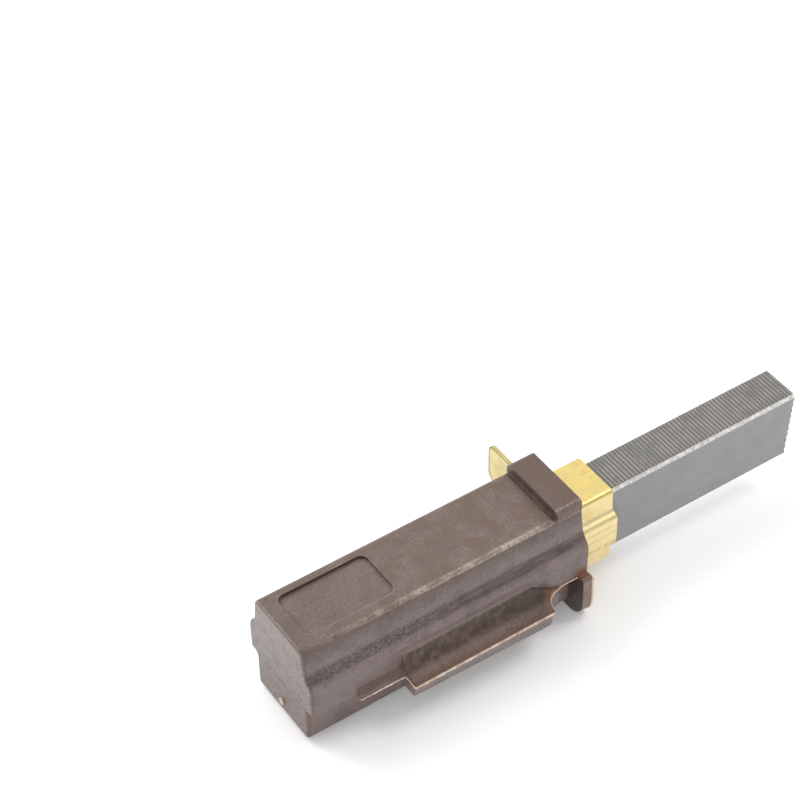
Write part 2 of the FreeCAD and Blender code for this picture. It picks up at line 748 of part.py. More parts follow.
def add_face_details(doc, body, s):
    """Bare recessed panel, locating lug and the stub of the sprue."""
    parting = -s["parting_drop"]
    top = parting + s["panel_side_depth"]
    rear = -s["body_length"]
    start = rear + s["recess_rear"]
    half = s["recess_width"] / 2
    panel = make_sketch(body, "recess_outline", "XY_Plane", top)
    draw_box(
        panel,
        (start, s["recess_shift"] - half),
        (start + s["recess_length"], s["recess_shift"] + half),
        s["recess_corner"],
    )
    pocket(doc, body, panel, s["recess_depth"], "recess")
    lug_start = rear + s["lug_rear"]
    lug_low = parting - s["lug_side_depth"] - s["lug_height"]
    lug = make_sketch(body, "lug_outline", "XY_Plane", lug_low)
    draw_box(lug, (lug_start, -s["lug_width"] / 2), (lug_start + s["lug_length"], s["lug_width"] / 2))
    pad(body, lug, s["lug_height"] * 1.5, "lug")
    sprue = make_sketch(body, "sprue_outline", "YZ_Plane", rear - s["gate_height"])
    draw_circle(sprue, (0.0, parting - s["gate_drop"]), s["gate_diameter"] / 2)
    pad(body, sprue, s["gate_height"] * 2, "sprue")


def cut_cavity(doc, body, s):
    """The blind cavity for the guide and the slot for the leg of the terminal."""
    front = s["flange_thickness"]
    cavity = make_sketch(body, "cavity_outline", "YZ_Plane", front)
    draw_guide_section(cavity, s, s["cavity_play"])
    pocket(doc, body, cavity, front - cavity_floor(s), "cavity")
    against = guide_half_width(s) + s["channel_depth"]
    play = s["cavity_play"]
    slot = make_sketch(body, "leg_slot", "YZ_Plane", front)
    bend = s["blade_bend"] + s["guide_wall"]
    draw_box(slot, (against, -s["neck_low"] - play), (against + bend + play, s["neck_high"] + play))
    pocket(doc, body, slot, s["leg_length"] + play, "leg_slot_cut")


def make_housing(doc, s):
    """One-piece moulded housing, closed at the rear."""
    body = make_body(doc, "housing")
    rear = -s["body_length"]
    length = s["body_length"] + s["flange_thickness"]
    upper = make_sketch(body, "panel_half_section", "YZ_Plane", rear)
    draw_panel_half(upper, s)
    pad(body, upper, length, "panel_half")
    lower = make_sketch(body, "lug_half_section", "YZ_Plane", rear)
    draw_lug_half(lower, s)
    pad(body, lower, length, "lug_half")
    add_wings(doc, body, s)
    add_front(body, s)
    add_face_details(doc, body, s)
    add_pin_marks(doc, body, s)
    cut_cavity(doc, body, s)
    return body


def check_document(doc, parts):
    """Stop on any failed feature and on any sub-part without a sound shape."""
    for thing in doc.Objects:
        if "Invalid" in thing.State or "Error" in thing.State:
            raise ValueError("failed feature: " + thing.Name)
    for part in parts:
        if part.Shape.isNull() or not part.Shape.isValid():
            raise ValueError("unsound shape: " + part.Label)


def main():
    doc = FreeCAD.newDocument("brush_holder")
    s = make_sheet(doc)
    parts = [
        make_housing(doc, s),
        make_guide(doc, s),
        make_terminal(doc, s),
        make_seat(doc, s),
        make_brush(doc, s),
        make_shunt(doc, s),
        make_spring(doc, s),
    ]
    doc.recompute()
    check_document(doc, parts)
    os.makedirs("parts", exist_ok=True)
    for part in parts:
        part.Shape.exportStep("parts/%s.step" % part.Label)
        box = part.Shape.BoundBox
        print("%-16s solids %d volume %8.1f  x %6.2f..%6.2f y %6.2f..%6.2f z %6.2f..%6.2f" % (
            part.Label, len(part.Shape.Solids), part.Shape.Volume,
            box.XMin, box.XMax, box.YMin, box.YMax, box.ZMin, box.ZMax))


main()
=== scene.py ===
# %% [markdown]
# # A carbon brush holder
#
# This lesson dresses the finished CAD model of a small motor's brush holder. The moulding,
# the brass and the carbon each get a surface of their own. Everything is in metres and in
# the CAD model's frame: X runs along the brush to its contact tip, Z points out of the
# face with the bare panel, and the origin is on the brush axis in the plane where the
# flange meets its seat.

# %% Load the frame
import bpy, bmesh
import numpy as np
from mathutils import Matrix, Vector


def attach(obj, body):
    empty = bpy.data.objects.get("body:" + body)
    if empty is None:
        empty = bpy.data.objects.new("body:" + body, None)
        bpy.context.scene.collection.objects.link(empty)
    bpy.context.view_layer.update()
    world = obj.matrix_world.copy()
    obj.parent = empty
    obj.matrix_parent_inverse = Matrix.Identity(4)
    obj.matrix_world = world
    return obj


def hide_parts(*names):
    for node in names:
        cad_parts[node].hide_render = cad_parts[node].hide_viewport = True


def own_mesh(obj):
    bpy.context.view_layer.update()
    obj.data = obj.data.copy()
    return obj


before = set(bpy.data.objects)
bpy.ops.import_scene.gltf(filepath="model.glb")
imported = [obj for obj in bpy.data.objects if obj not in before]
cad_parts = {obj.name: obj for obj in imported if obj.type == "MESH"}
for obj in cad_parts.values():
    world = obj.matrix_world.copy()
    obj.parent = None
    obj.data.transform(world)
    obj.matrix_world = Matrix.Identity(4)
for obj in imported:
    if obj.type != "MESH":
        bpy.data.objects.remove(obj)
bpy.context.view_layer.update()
MM = 0.001
print("nodes", sorted(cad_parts))

# %% [markdown]
# ## Camera
#
# A photograph fixes six numbers of its camera and a focal length. They could be found by
# eye, by turning the view until it looks right, but corners that were measured in the
# picture give them far more closely. The three axes of the camera are rows of a rotation
# matrix, and its place is in millimetres from the origin.

# %% Camera
PICTURE_WIDTH = 800.0
SENSOR_WIDTH = 36.0
FOCAL_IN_PIXELS = 2373.5
camera_right = Vector((0.827861, -0.560703, -0.016054))
camera_down = Vector((-0.399664, -0.569525, -0.718269))
camera_forward = camera_right.cross(camera_down)
camera_place = Vector((-127.274, -161.392, 222.211)) * MM

camera_data = bpy.data.cameras.new("camera")
camera_data.sensor_width = SENSOR_WIDTH
camera_data.lens = FOCAL_IN_PIXELS * SENSOR_WIDTH / PICTURE_WIDTH
camera_data.clip_start = 0.01
camera_data.clip_end = 10.0
camera = bpy.data.objects.new("camera", camera_data)
turn = Matrix((camera_right, -camera_down, -camera_forward)).transposed()
camera.matrix_world = Matrix.Translation(camera_place) @ turn.to_4x4()
bpy.context.scene.collection.objects.link(camera)
bpy.context.scene.camera = camera
print("lens %.1f mm" % camera_data.lens)

# %% [markdown]
# ## Nodes in a few words
#
# A procedural material is a graph of nodes. Wired by hand, each takes a dozen lines, so a
# small class keeps the graph and gives every kind of node one short method. All patterns
# read Object coordinates, because they stay on a piece when the piece moves, and their
# sizes are given in millimetres.

# %% A graph of nodes
class Graph:
    """A Principled material with short methods for the nodes that feed it."""

    def __init__(self, name, **constants):
        self.material = bpy.data.materials.new(name)
        self.material.use_nodes = True
        self.nodes = self.material.node_tree.nodes
        self.links = self.material.node_tree.links
        self.shader = self.nodes["Principled BSDF"]
        self.place = self.nodes.new("ShaderNodeTexCoord").outputs["Object"]
        for socket, value in constants.items():
            self.shader.inputs[socket.replace("_", " ")].default_value = value

    def put(self, node, socket, value):
        if isinstance(value, bpy.types.NodeSocket):
            self.links.new(value, node.inputs[socket])
        else:
            node.inputs[socket].default_value = value

    def into(self, socket, value):
        self.put(self.shader, socket, value)

    def stretched(self, x, y, z):
        """Object coordinates multiplied along each axis."""
        node = self.nodes.new("ShaderNodeMapping")
        node.inputs["Scale"].default_value = (x, y, z)
        self.links.new(self.place, node.inputs["Vector"])
        return node.outputs["Vector"]

    def noise(self, size_mm, detail=4.0, where=None):
        """Soft noise whose blotches are about size_mm across."""
        node = self.nodes.new("ShaderNodeTexNoise")
        node.inputs["Scale"].default_value = 1 / (size_mm * MM)
        node.inputs["Detail"].default_value = detail
        self.links.new(where or self.place, node.inputs["Vector"])
        return node.outputs["Fac"]

    def cells(self, size_mm):
        """Distance to the nearest of many scattered points."""
        node = self.nodes.new("ShaderNodeTexVoronoi")
        node.inputs["Scale"].default_value = 1 / (size_mm * MM)
        self.links.new(self.place, node.inputs["Vector"])
        return node.outputs["Distance"]

    def sum(self, operation, a, b=0.0, c=0.0):
        node = self.nodes.new("ShaderNodeMath")
        node.operation = operation
        for number, value in enumerate((a, b, c)):
            self.put(node, number, value)
        return node.outputs[0]

    def fade(self, value, start, end, low=0.0, high=1.0):
        """A smooth step from low to high while value goes from start to end."""
        node = self.nodes.new("ShaderNodeMapRange")
        node.interpolation_type = "SMOOTHSTEP"
        self.put(node, 0, value)
        for number, limit in enumerate((start, end, low, high), start=1):
            node.inputs[number].default_value = limit
        return node.outputs[0]

    def mix(self, share, a, b):
        """Colour a where share is 0 and b where it is 1."""
        node = self.nodes.new("ShaderNodeMix")
        node.data_type = "RGBA"
        self.put(node, 0, share)
        for socket, colour in ((6, a), (7, b)):
            self.put(node, socket, (*colour, 1) if isinstance(colour, tuple) else colour)
        return node.outputs[2]

    def rounded(self, radius_mm):
        """A normal that turns smoothly across edges, as if they had this radius."""
        node = self.nodes.new("ShaderNodeBevel")
        node.samples = 4
        node.inputs["Radius"].default_value = radius_mm * MM
        return node.outputs["Normal"]

    def bump(self, height, depth_mm, below=None):
        """Turn a height from 0 to 1 into a bent normal, for a relief of this depth."""
        node = self.nodes.new("ShaderNodeBump")
        node.inputs["Distance"].default_value = depth_mm * MM
        self.links.new(height, node.inputs["Height"])
        if below is not None:
            self.links.new(below, node.inputs["Normal"])
        return node.outputs["Normal"]


print("kinds of node:", [name for name in vars(Graph) if name[0] != "_"])

# %% [markdown]
# ## Masks and layers
#
# Wear, dirt and tones sit at known places, so a second class adds masks by place, which
# are smooth steps of the coordinates, and products of them. An image could be painted
# instead, but a mask stays sharp at any distance. Colours are laid on in layers, each
# over the last, as thickly as its mask says.

# %% Masks and layers
class Finish(Graph):
    """along, across and height are X, Y and Z in millimetres, and sideways is the
    distance to the middle plane. colour is what has been painted so far."""

    def __init__(self, name, **constants):
        super().__init__(name, **constants)
        parts = self.nodes.new("ShaderNodeSeparateXYZ")
        self.links.new(self.place, parts.inputs[0])
        self.along, self.across, self.height = (self.times(v, 1 / MM) for v in parts.outputs)
        self.sideways = self.sum("ABSOLUTE", self.across)
        self.colour = None

    def times(self, first, *others):
        """The product of masks and numbers."""
        for other in others:
            first = self.sum("MULTIPLY", first, other)
        return first

    def band(self, value, start, full, end, gone):
        """1 while value is between full and end, 0 before start and after gone."""
        return self.times(self.fade(value, gone, end), self.fade(value, start, full))

    def near(self, value, place, gone, full):
        """1 where value is within full of place, 0 where it is further off than gone."""
        away = self.sum("ABSOLUTE", self.sum("SUBTRACT", value, place))
        return self.fade(away, gone, full)

    def distance(self, x, y, place):
        """How far a point is from a place in a plane."""
        dx, dy = self.sum("SUBTRACT", x, place[0]), self.sum("SUBTRACT", y, place[1])
        return self.sum("SQRT", self.sum("ADD", self.times(dx, dx), self.times(dy, dy)))

    def ring(self, x, y, outline, width):
        """1 on the outline of a rounded rectangle, fading out within width on either side.
        The distance to it is the length of the part of (|x|, |y|) that sticks out of the
        smaller rectangle, minus the corner radius."""
        centre, half, corner = outline
        square = 0.0
        for value, middle, reach in zip((x, y), centre, half):
            away = self.sum("ABSOLUTE", self.sum("SUBTRACT", value, middle))
            out = self.sum("MAXIMUM", self.sum("SUBTRACT", away, reach - corner), 0)
            square = self.sum("MULTIPLY_ADD", out, out, square)
        return self.near(self.sum("SQRT", square), corner, width, 0.0)

    def paint(self, colour, *masks):
        """Lay a colour over those painted before, by the product of the masks."""
        self.colour = self.mix(self.times(*masks), self.colour, colour)


print("masks and layers:", [name for name in vars(Finish) if name[0] != "_"])

# %% [markdown]
# ## The moulding: a tone for every face
#
# Thermosetting plastic with a mineral filler is a dull red-brown, and the panel face is the
# darkest. The sides, the outer edges of the wings and the rear face are painted paler and
# greyer: painted light, for the light that the bright floor and the lamp behind and to the
# left throw on them, and the rear is painted lighter towards the top. The faces could each
# get a material, but then the tones would meet in hard lines. Here they are masks by place,
# in one graph.

# %% Places on the moulding and its tones
PARTING = -1.9
SIDE, WING = 7.0, 10.1
REAR, WING_REAR = -39.7, -26.8
PANEL = 8.25
HOLLOW_TOP = 1.25
NOTCH, NOTCH_RADIUS = (-3.0, 10.1), 2.9
RECESS = ((-31.2, 0.25), (6.3, 3.6), 1.1)


def paint_faces(f):
    """Slow changes of tone, then the sides, the wings' edges, the rails and the rear. The paler
    sides, wing edges and rear are painted light.
    """
    slow = f.fade(f.noise(5.0, 3.0), 0.35, 0.65)
    f.colour = f.mix(slow, (0.118, 0.08, 0.066), (0.135, 0.092, 0.077))
    sides = f.times(f.fade(f.sideways, 5.2, 5.6), f.fade(f.height, 8.0, 7.2))
    # The sides are painted paler: painted light from the bright floor.
    f.paint(f.mix(slow, (0.215, 0.162, 0.152), (0.24, 0.182, 0.172)), sides)
    # The wings' outer edges, low by the floor, are painted paler still: painted light.
    f.paint((0.33, 0.26, 0.25), f.fade(f.sideways, WING - 0.3, WING - 0.05),
            f.fade(f.height, PARTING - 0.05, PARTING - 0.15))
    rail = f.times(f.fade(f.sideways, SIDE + 0.03, SIDE + 0.12),
                   f.fade(f.along, WING_REAR + 0.1, WING_REAR - 0.1),
                   f.fade(f.height, PARTING + 0.05, PARTING + 0.1))
    f.paint((0.12, 0.07, 0.055), rail, 0.75)
    rear = f.fade(f.along, REAR + 0.4, REAR + 0.1)
    # The rear face is painted pale, lighter towards the top: painted light from the lamp on the
    # left.
    rear_painted_light = f.mix(f.fade(f.height, -8.0, 4.0), (0.15, 0.12, 0.112), (0.23, 0.19, 0.178))
    f.paint(rear_painted_light, rear)
    return sides, rear


coat = Finish("brown_moulding", IOR=1.58)
sides, rear = paint_faces(coat)
print("tones of the faces:", len(coat.nodes), "nodes")

# %% [markdown]
# ## The moulding: edges and grain
#
# The near long edge of the panel is painted nearly cream: partly wear from handling, partly
# a painted highlight on the rounded edge. The edges of the rear face are painted warm and
# dark, as painted shade where they round away. The filler shows as a fine dark grain, with
# thin pale streaks where the plastic flowed along the mould. The sides left the mould
# smoother, so their grain is halved. Two noises are enough, one of them drawn out along X.

# %% Edges and grain
def paint_edges(f, rear):
    """Warm rims round the rear face, which are painted shade, and the pale edge of the panel on
    the -Y side, which is partly wear and partly a painted highlight.
    """
    # A dark band along the rear's corner edges: painted shade of the rounded edge.
    f.paint((0.125, 0.07, 0.058), f.near(f.along, REAR + 0.28, 0.32, 0.1), 0.6)
    # Warm, darker rims round the rear face: painted shade where the edges round away.
    rim = f.sum("MAXIMUM", f.times(rear, f.fade(f.sideways, 4.85, 5.4)),
                f.near(f.along, REAR + 0.35, 0.55, 0.15))
    f.paint((0.2, 0.12, 0.095), rim, f.fade(f.height, PARTING + 0.05, PARTING - 0.1), 0.5)
    # The pale band on the panel's near edge: partly wear, partly a painted highlight.
    edge = f.times(f.fade(f.across, -4.45, -4.95, 0.1, 1.0), f.fade(f.sideways, 5.45, 5.15),
                   f.fade(f.height, 7.6, 7.9), f.fade(f.along, -41.0, -20.0, 0.15, 1.0))
    f.paint((0.55, 0.43, 0.355), edge, f.fade(f.noise(1.1, 4.0), 0.25, 0.7, 0.75, 1.0))


def paint_grain(f, smooth_part):
    """Dark grain and pale streaks of flow. Both noises also serve as relief."""
    grain = f.noise(0.33, 6.0)
    flow = f.noise(0.6, 4.0, f.stretched(0.35, 1.0, 1.0))
    grainy = f.sum("SUBTRACT", 1.0, f.times(smooth_part, 0.5))
    f.paint((0.07, 0.044, 0.036), f.fade(grain, 0.38, 0.68, 0.0, 0.52), grainy)
    f.paint((0.22, 0.16, 0.13), f.fade(flow, 0.54, 0.68, 0.0, 0.4))
    return grain, flow, grainy


paint_edges(coat, rear)
grain, flow, grainy = paint_grain(coat, coat.sum("MAXIMUM", sides, rear))
print("with edges and grain:", len(coat.nodes), "nodes")

# %% [markdown]
# ## The moulding: flange, rough band and hollows
#
# The flange is the last place that the plastic fills, and it is reddish with a pale edge.
# Its rear face, in the corner against the body, gets painted shade. The ogee of each side
# has a band that tore as the part left the mould, speckled near the rear and streaked near
# the front. It is painted dark, partly for the torn surface and partly as painted shade in
# the ogee's curve. The hollows over the wings, and the notch before them, keep a film of
# resin: they are warm. Their darkening towards the flange and in the root, under the wall,
# is painted shade, and their outer part is painted lighter. Each of them is a box of smooth
# limits, which follows the shape without any painting by hand.

# %% Flange, rough band and hollows
def paint_flange(f):
    waves = f.noise(2.2, 5.0)
    flange = f.times(f.fade(f.along, -0.6, -0.2), f.fade(f.height, -1.7, -1.95))
    f.paint((0.1, 0.05, 0.033), flange, f.fade(waves, 0.35, 0.6, 0.35, 0.65))
    f.paint((0.3, 0.21, 0.16), flange, f.fade(f.along, 0.02, 0.1),
            f.fade(f.sideways, 8.0, 8.2), 0.65)
    # Painted shade on the flange's rear face, in the corner against the body.
    f.paint((0.04, 0.022, 0.018), flange, f.fade(f.along, 0.06, 0.02), 0.6)
    f.paint((0.085, 0.05, 0.036), f.fade(waves, 0.5, 0.62, 0.0, 0.3))


def paint_torn_band_and_shade(f):
    """Speckles turn into streaks between 26 and 14 mm behind the seat. The dark band stands partly
    for the torn surface, partly for painted shade in the ogee's curve.
    """
    band = f.times(f.band(f.height, 3.0, 3.4, 4.1, 4.6), f.fade(f.sideways, 5.6, 5.75))
    speckled = f.fade(f.noise(0.3, 5.0), 0.4, 0.62, 0.1, 0.75)
    streaked = f.fade(f.noise(0.5, 4.0, f.stretched(0.12, 1.0, 1.0)), 0.35, 0.6, 0.2, 0.7)
    in_front = f.fade(f.along, -26.0, -14.0)
    behind = f.sum("SUBTRACT", 1.0, in_front)
    broken = f.sum("ADD", f.times(streaked, in_front), f.times(speckled, behind))
    # The band painted dark: partly the torn surface, partly painted shade in the ogee's curve.
    f.paint((0.06, 0.04, 0.038), band, broken)
    return band


def paint_hollows_and_shade(f):
    brown, shade = (0.115, 0.062, 0.038), (0.045, 0.024, 0.016)
    hollow = f.times(f.fade(f.sideways, SIDE + 0.01, SIDE + 0.07),
                     f.band(f.height, PARTING + 0.05, PARTING + 0.12, 0.55, HOLLOW_TOP),
                     f.band(f.along, WING_REAR - 0.1, WING_REAR + 0.1, -3.6, -3.2))
    # A warm film of resin, darker towards the front, where the darkening is painted shade.
    f.paint(brown, hollow, f.fade(f.along, -20.0, -5.0, 0.62, 0.85))
    # Painted shade towards the front of each hollow.
    f.paint(shade, hollow, f.fade(f.along, -14.0, -6.0, 0.0, 0.6))
    # Painted shade in blotches in the root of each hollow, under the wall.
    shade_blotches = f.fade(f.noise(0.9, 5.0), 0.35, 0.65, 0.3, 0.9)
    f.paint(shade, hollow, f.fade(f.height, -1.5, -1.0), shade_blotches)
    # The outer part, away from the wall, is painted lighter and warmer.
    f.paint((0.16, 0.07, 0.035), hollow, f.fade(f.sideways, 8.8, 9.8), 0.5)
    from_notch = f.distance(f.along, f.sideways, NOTCH)
    f.paint((0.165, 0.075, 0.036), f.fade(from_notch, NOTCH_RADIUS + 1.0, NOTCH_RADIUS + 0.3),
            f.band(f.height, PARTING, PARTING + 0.1, -0.3, 0.3),
            f.fade(f.sideways, SIDE, SIDE + 0.2), 0.8)
    return hollow


paint_flange(coat)
rough_band = paint_torn_band_and_shade(coat)
hollow = paint_hollows_and_shade(coat)
print("with flange, band and hollows:", len(coat.nodes), "nodes")

# %% [markdown]
# ## The moulding: lines and marks
#
# Three dark lines are painted: round the floor of the panel's recess and at the foot of
# the raised collar, as painted shade in these creases, and in the joint where the halves
# meet on the rear face, as dirt. The near lip of the recess is painted pale, as a painted
# highlight. Single pale specks of filler, the broken stub of the sprue, rusty corners
# beside the flange and the collar, painted darker as painted shade for its step, complete
# it. They come last, over all the rest.

# %% Lines and marks
def paint_lines(f, rear):
    groove = f.times(f.ring(f.along, f.across, RECESS, 0.3),
                     f.band(f.height, PANEL - 0.39, PANEL - 0.33, PANEL - 0.1, PANEL - 0.01))
    foot = f.times(f.near(f.along, -2.5, 0.5, 0.25), f.band(f.height, 8.0, 8.2, 9.0, 9.45),
                   f.fade(f.sideways, 5.5, 5.0))
    joint = f.times(rear, f.near(f.height, PARTING, 0.15, 0.05))
    # Painted shade in the recess groove and at the collar's foot, with dirt in the rear joint.
    crease_shade_and_joint = f.sum("MAXIMUM", f.sum("MAXIMUM", groove, foot), joint)
    f.paint((0.026, 0.015, 0.011), crease_shade_and_joint, 0.85)
    # The near lip of the recess: a painted highlight.
    lip_highlight = f.times(f.ring(f.along, f.across, RECESS, 0.28),
                  f.fade(f.height, PANEL - 0.15, PANEL - 0.05), f.fade(f.across, -2.2, -3.0))
    f.paint((0.27, 0.195, 0.16), lip_highlight, 0.6)


def paint_marks(f):
    specks = f.times(f.fade(f.cells(0.8), 0.12, 0.07), f.fade(f.noise(2.5), 0.5, 0.62))
    f.paint((0.4, 0.33, 0.29), specks, 0.5)
    stub = f.mix(f.noise(0.3), (0.85, 0.68, 0.53), (0.4, 0.27, 0.19))
    f.paint(stub, f.fade(f.along, REAR - 0.04, REAR - 0.1))
    f.paint((0.2, 0.085, 0.035), f.fade(f.along, -0.9, 0.3), f.near(f.height, -1.5, 1.2, 0.3),
            f.band(f.sideways, 6.6, 7.0, 7.4, 8.0), 0.8)
    top = f.fade(f.height, PANEL - 0.35, PANEL - 0.25)
    # The collar painted darker: painted shade for its step.
    f.paint((0.08, 0.041, 0.029), f.fade(f.along, -2.7, -2.4), top, 0.5)
    f.paint((0.11, 0.066, 0.043), f.fade(f.noise(2.8, 4.0), 0.42, 0.62, 0.0, 0.5), top)


paint_lines(coat, rear)
paint_marks(coat)
print("with lines and marks:", len(coat.nodes), "nodes")

# %% [markdown]
# ## The moulding: gloss and relief
#
# The same grain that darkens the colour also sets the gloss. Relief is stacked from the
# broad to the fine: rounded edges, flow marks, a slow waviness, the torn band and last the
# grain. Shared noises keep colour, gloss and relief in step, as on a real surface.

# %% Gloss and relief
coat.into("Base Color", coat.colour)
gloss = coat.fade(grain, 0.3, 0.7, 0.32, 0.5)
coat.into("Roughness", coat.sum("MULTIPLY_ADD", hollow, 0.08, gloss))
wavy = coat.bump(coat.noise(1.4, 3.0), 0.04, coat.bump(flow, 0.012, coat.rounded(0.18)))
uneven = coat.sum("MAXIMUM", rough_band, coat.times(hollow, 0.8))
torn = coat.bump(coat.times(coat.noise(0.45, 5.0), uneven), 0.12, wavy)
coat.into("Normal", coat.bump(coat.times(grain, grainy), 0.022, torn))
moulding = coat.material
print("made", moulding.name, "of", len(coat.nodes), "nodes")

# %% [markdown]
# ## The brass
#
# Rolled brass is a metal, so its colour tints the reflections. Handling leaves cloudy
# patches of roughness, thin tarnish shows as darker and redder stains, and the guide's
# walls carry dirt in rows where the folding tool pressed. The walls, and the terminal's
# blade with them, are painted paler than the guide's flat faces: a painted reflection of
# the white floor. The terminal's rim is coined and darker. Rolling leaves faint lines along
# the sheet: noise drawn out fiftyfold.

# %% Marks on the brass
BLADE = ((10.8, 0.0), (3.8, 3.15), 1.2)
ROWS = ((1.28, 0.13, 0.6), (0.04, 0.13, 0.6), (-1.7, 0.4, 0.6), (-3.2, 0.3, 0.25))
DIMPLES = ((4.56, 2.32, 1.0), (6.2, 3.09, -1.0))


def paint_blade_rim(f):
    """The coined rim of the terminal's blade, a dark line round it."""
    rim = f.times(f.ring(f.across, f.height, BLADE, 0.5), f.fade(f.across, 8.0, 8.6))
    f.paint((0.2, 0.175, 0.06), rim, 0.9)


def paint_wall_rows(f):
    """Rows of dirt along the guide's walls, each with a height, a width and a share."""
    wall = f.fade(f.sideways, 4.55, 4.75)
    for level, width, share in ROWS:
        broken = f.fade(f.noise(0.4, 3.0), 0.35, 0.6, 0.2, share)
        f.paint((0.46, 0.36, 0.15), f.near(f.height, level, width, width * 0.3), wall, broken)


def dimples(f, below):
    """A punched dimple in each flat face of the guide, at x and y, on one side of Z."""
    for x, y, side in DIMPLES:
        dip = f.fade(f.distance(f.along, f.across, (x, y)), 0.6, 0.05, 1.0, 0.0)
        below = f.bump(f.times(dip, f.fade(f.times(f.height, side), 5.9, 6.1)), 0.02, below)
    return below


print("rows of dirt:", len(ROWS), "dimples:", len(DIMPLES))

# %% [markdown]
# ## The brass: put together
#
# One function makes all three: the clean sheet of the guide, the tarnished blade, and its
# sheared edges, which are darker still. They could be three materials written out, but
# they differ only in tarnish, which is one number, and in the coined rim.

# %% Rolled brass
def brass_finish(name, tarnish=0.0, coined=False):
    f = Finish(name, Metallic=1.0)
    clouds = f.noise(2.2, 5.0)
    f.colour = f.mix(f.fade(clouds, 0.35, 0.7), (0.85, 0.69, 0.28), (0.79, 0.61, 0.22))
    f.paint((0.6, 0.4, 0.2), f.fade(f.noise(0.9, 6.0), 0.58, 0.75, 0.0, 0.55))
    walls = f.fade(f.sum("ABSOLUTE", f.height), 6.1, 5.6)
    # The walls, and the whole terminal blade, painted paler: a painted reflection of the white
    # floor.
    f.paint((0.93, 0.8, 0.48), walls, 0.75)
    pink = f.fade(f.noise(1.7, 3.0, f.stretched(0.5, 1.0, 1.0)), 0.52, 0.7, 0.0, 0.5)
    f.paint((0.86, 0.62, 0.4), pink, f.fade(f.height, 1.5, 0.0))
    scratches = f.fade(f.noise(0.45, 3.0, f.stretched(0.12, 1.0, 1.0)), 0.62, 0.72)
    f.paint((0.5, 0.38, 0.14), scratches, 0.45)
    f.paint((0.24, 0.225, 0.09), f.fade(clouds, 0.3, 0.7, 0.8, 1.2), tarnish)
    if coined:
        paint_blade_rim(f)
    else:
        paint_wall_rows(f)
    f.into("Base Color", f.colour)
    gloss = f.fade(clouds, 0.3, 0.7, 0.34, 0.5)
    f.into("Roughness", f.sum("MULTIPLY_ADD", walls, 0.1, gloss))
    dents = dimples(f, f.bump(f.noise(1.3, 3.0), 0.03, f.rounded(0.08)))
    rolled = f.noise(0.2, 2.0, f.stretched(0.02, 1.0, 1.0))
    f.into("Normal", f.bump(rolled, 0.006, f.bump(scratches, 0.02, dents)))
    return f.material


brass = brass_finish("rolled_brass")
terminal_brass = brass_finish("terminal_brass", 0.28, True)
sheared_brass = brass_finish("sheared_brass", 0.55)
print("made", brass.name, terminal_brass.name, sheared_brass.name)

# %% [markdown]
# ## The carbon
#
# Pressed carbon and graphite is a matt mid grey, dusted with darker grain. The long faces
# have faint upright streaks from the press, so one noise is drawn out along Z. The chamfers
# are freshly ground and painted much paler, partly for the ground face and partly as a
# painted sheen. They are found by place: a point lies on one where the sum of its distances
# from the axis, across and up, is large. The ribbed face is darker, with its grooves painted
# darker still and its crests paler, by the same wave that later gives them their shape:
# painted shade in the grooves and painted highlights on the crests.

# %% Pressed carbon
BLOCK_HALF_WIDTH, BLOCK_HALF_HEIGHT = 3.05, 5.5
RIB_PITCH, FIRST_GROOVE = 0.555, -3.84
SWAY, SWAY_RATE = 0.25, 1.3


def paint_chamfers(f, grain):
    reach = f.sum("ADD", f.sideways, f.sum("ABSOLUTE", f.height))
    ragged = f.sum("ADD", reach, f.fade(grain, 0.3, 0.7, -0.06, 0.06))
    full = BLOCK_HALF_WIDTH + BLOCK_HALF_HEIGHT
    ground = f.mix(f.fade(f.noise(0.5, 4.0), 0.35, 0.65), (0.92, 0.89, 0.85), (0.6, 0.58, 0.55))
    # The chamfers painted much paler: partly the ground face, partly a painted sheen.
    f.paint(ground, f.fade(ragged, full - 0.6, full - 0.54), 0.92)


def paint_ribs(f):
    sway = f.times(f.sum("SINE", f.times(f.along, SWAY_RATE)), SWAY)
    run = f.sum("SUBTRACT", f.along, FIRST_GROOVE)
    phase = f.sum("MULTIPLY_ADD", run, 2 * np.pi / RIB_PITCH, sway)
    crest = f.fade(f.sum("COSINE", phase), 0.1, -0.9)
    crest_highlight = f.times(crest, f.fade(f.noise(1.6, 4.0), 0.3, 0.65, 0.35, 0.95))
    # The ribbed face: grooves painted dark as painted shade, crests paler as painted highlights.
    ribs = f.mix(crest_highlight, (0.105, 0.1, 0.092), (0.31, 0.29, 0.26))
    f.paint(ribs, f.fade(f.height, BLOCK_HALF_HEIGHT - 0.2, BLOCK_HALF_HEIGHT - 0.08), 0.95)


def carbon_finish():
    f = Finish("pressed_carbon", Specular_IOR_Level=0.6)
    grain = f.noise(0.22, 5.0)
    streaks = f.noise(0.6, 3.0, f.stretched(1.0, 1.0, 0.08))
    clouds = f.fade(f.noise(3.5, 4.0), 0.3, 0.7)
    f.colour = f.mix(clouds, (0.352, 0.346, 0.354), (0.386, 0.378, 0.384))
    f.paint((0.35, 0.343, 0.35), f.fade(streaks, 0.55, 0.75, 0.0, 0.3))
    f.paint((0.15, 0.15, 0.155), f.fade(grain, 0.4, 0.75, 0.0, 0.45))
    paint_chamfers(f, grain)
    paint_ribs(f)
    f.into("Base Color", f.colour)
    f.into("Roughness", f.fade(grain, 0.3, 0.7, 0.5, 0.7))
    f.into("Normal", f.bump(grain, 0.02, f.bump(streaks, 0.01)))
    return f.material


carbon = carbon_finish()
print("made", carbon.name)

# %% [markdown]
# ## Steel, copper and flash
#
# Three small finishes are left: drawn spring wire, bright copper strands, and the thin
# flash that squeezed out between the mould halves, which has broken to a pale peach edge
# and is browner along the rear.

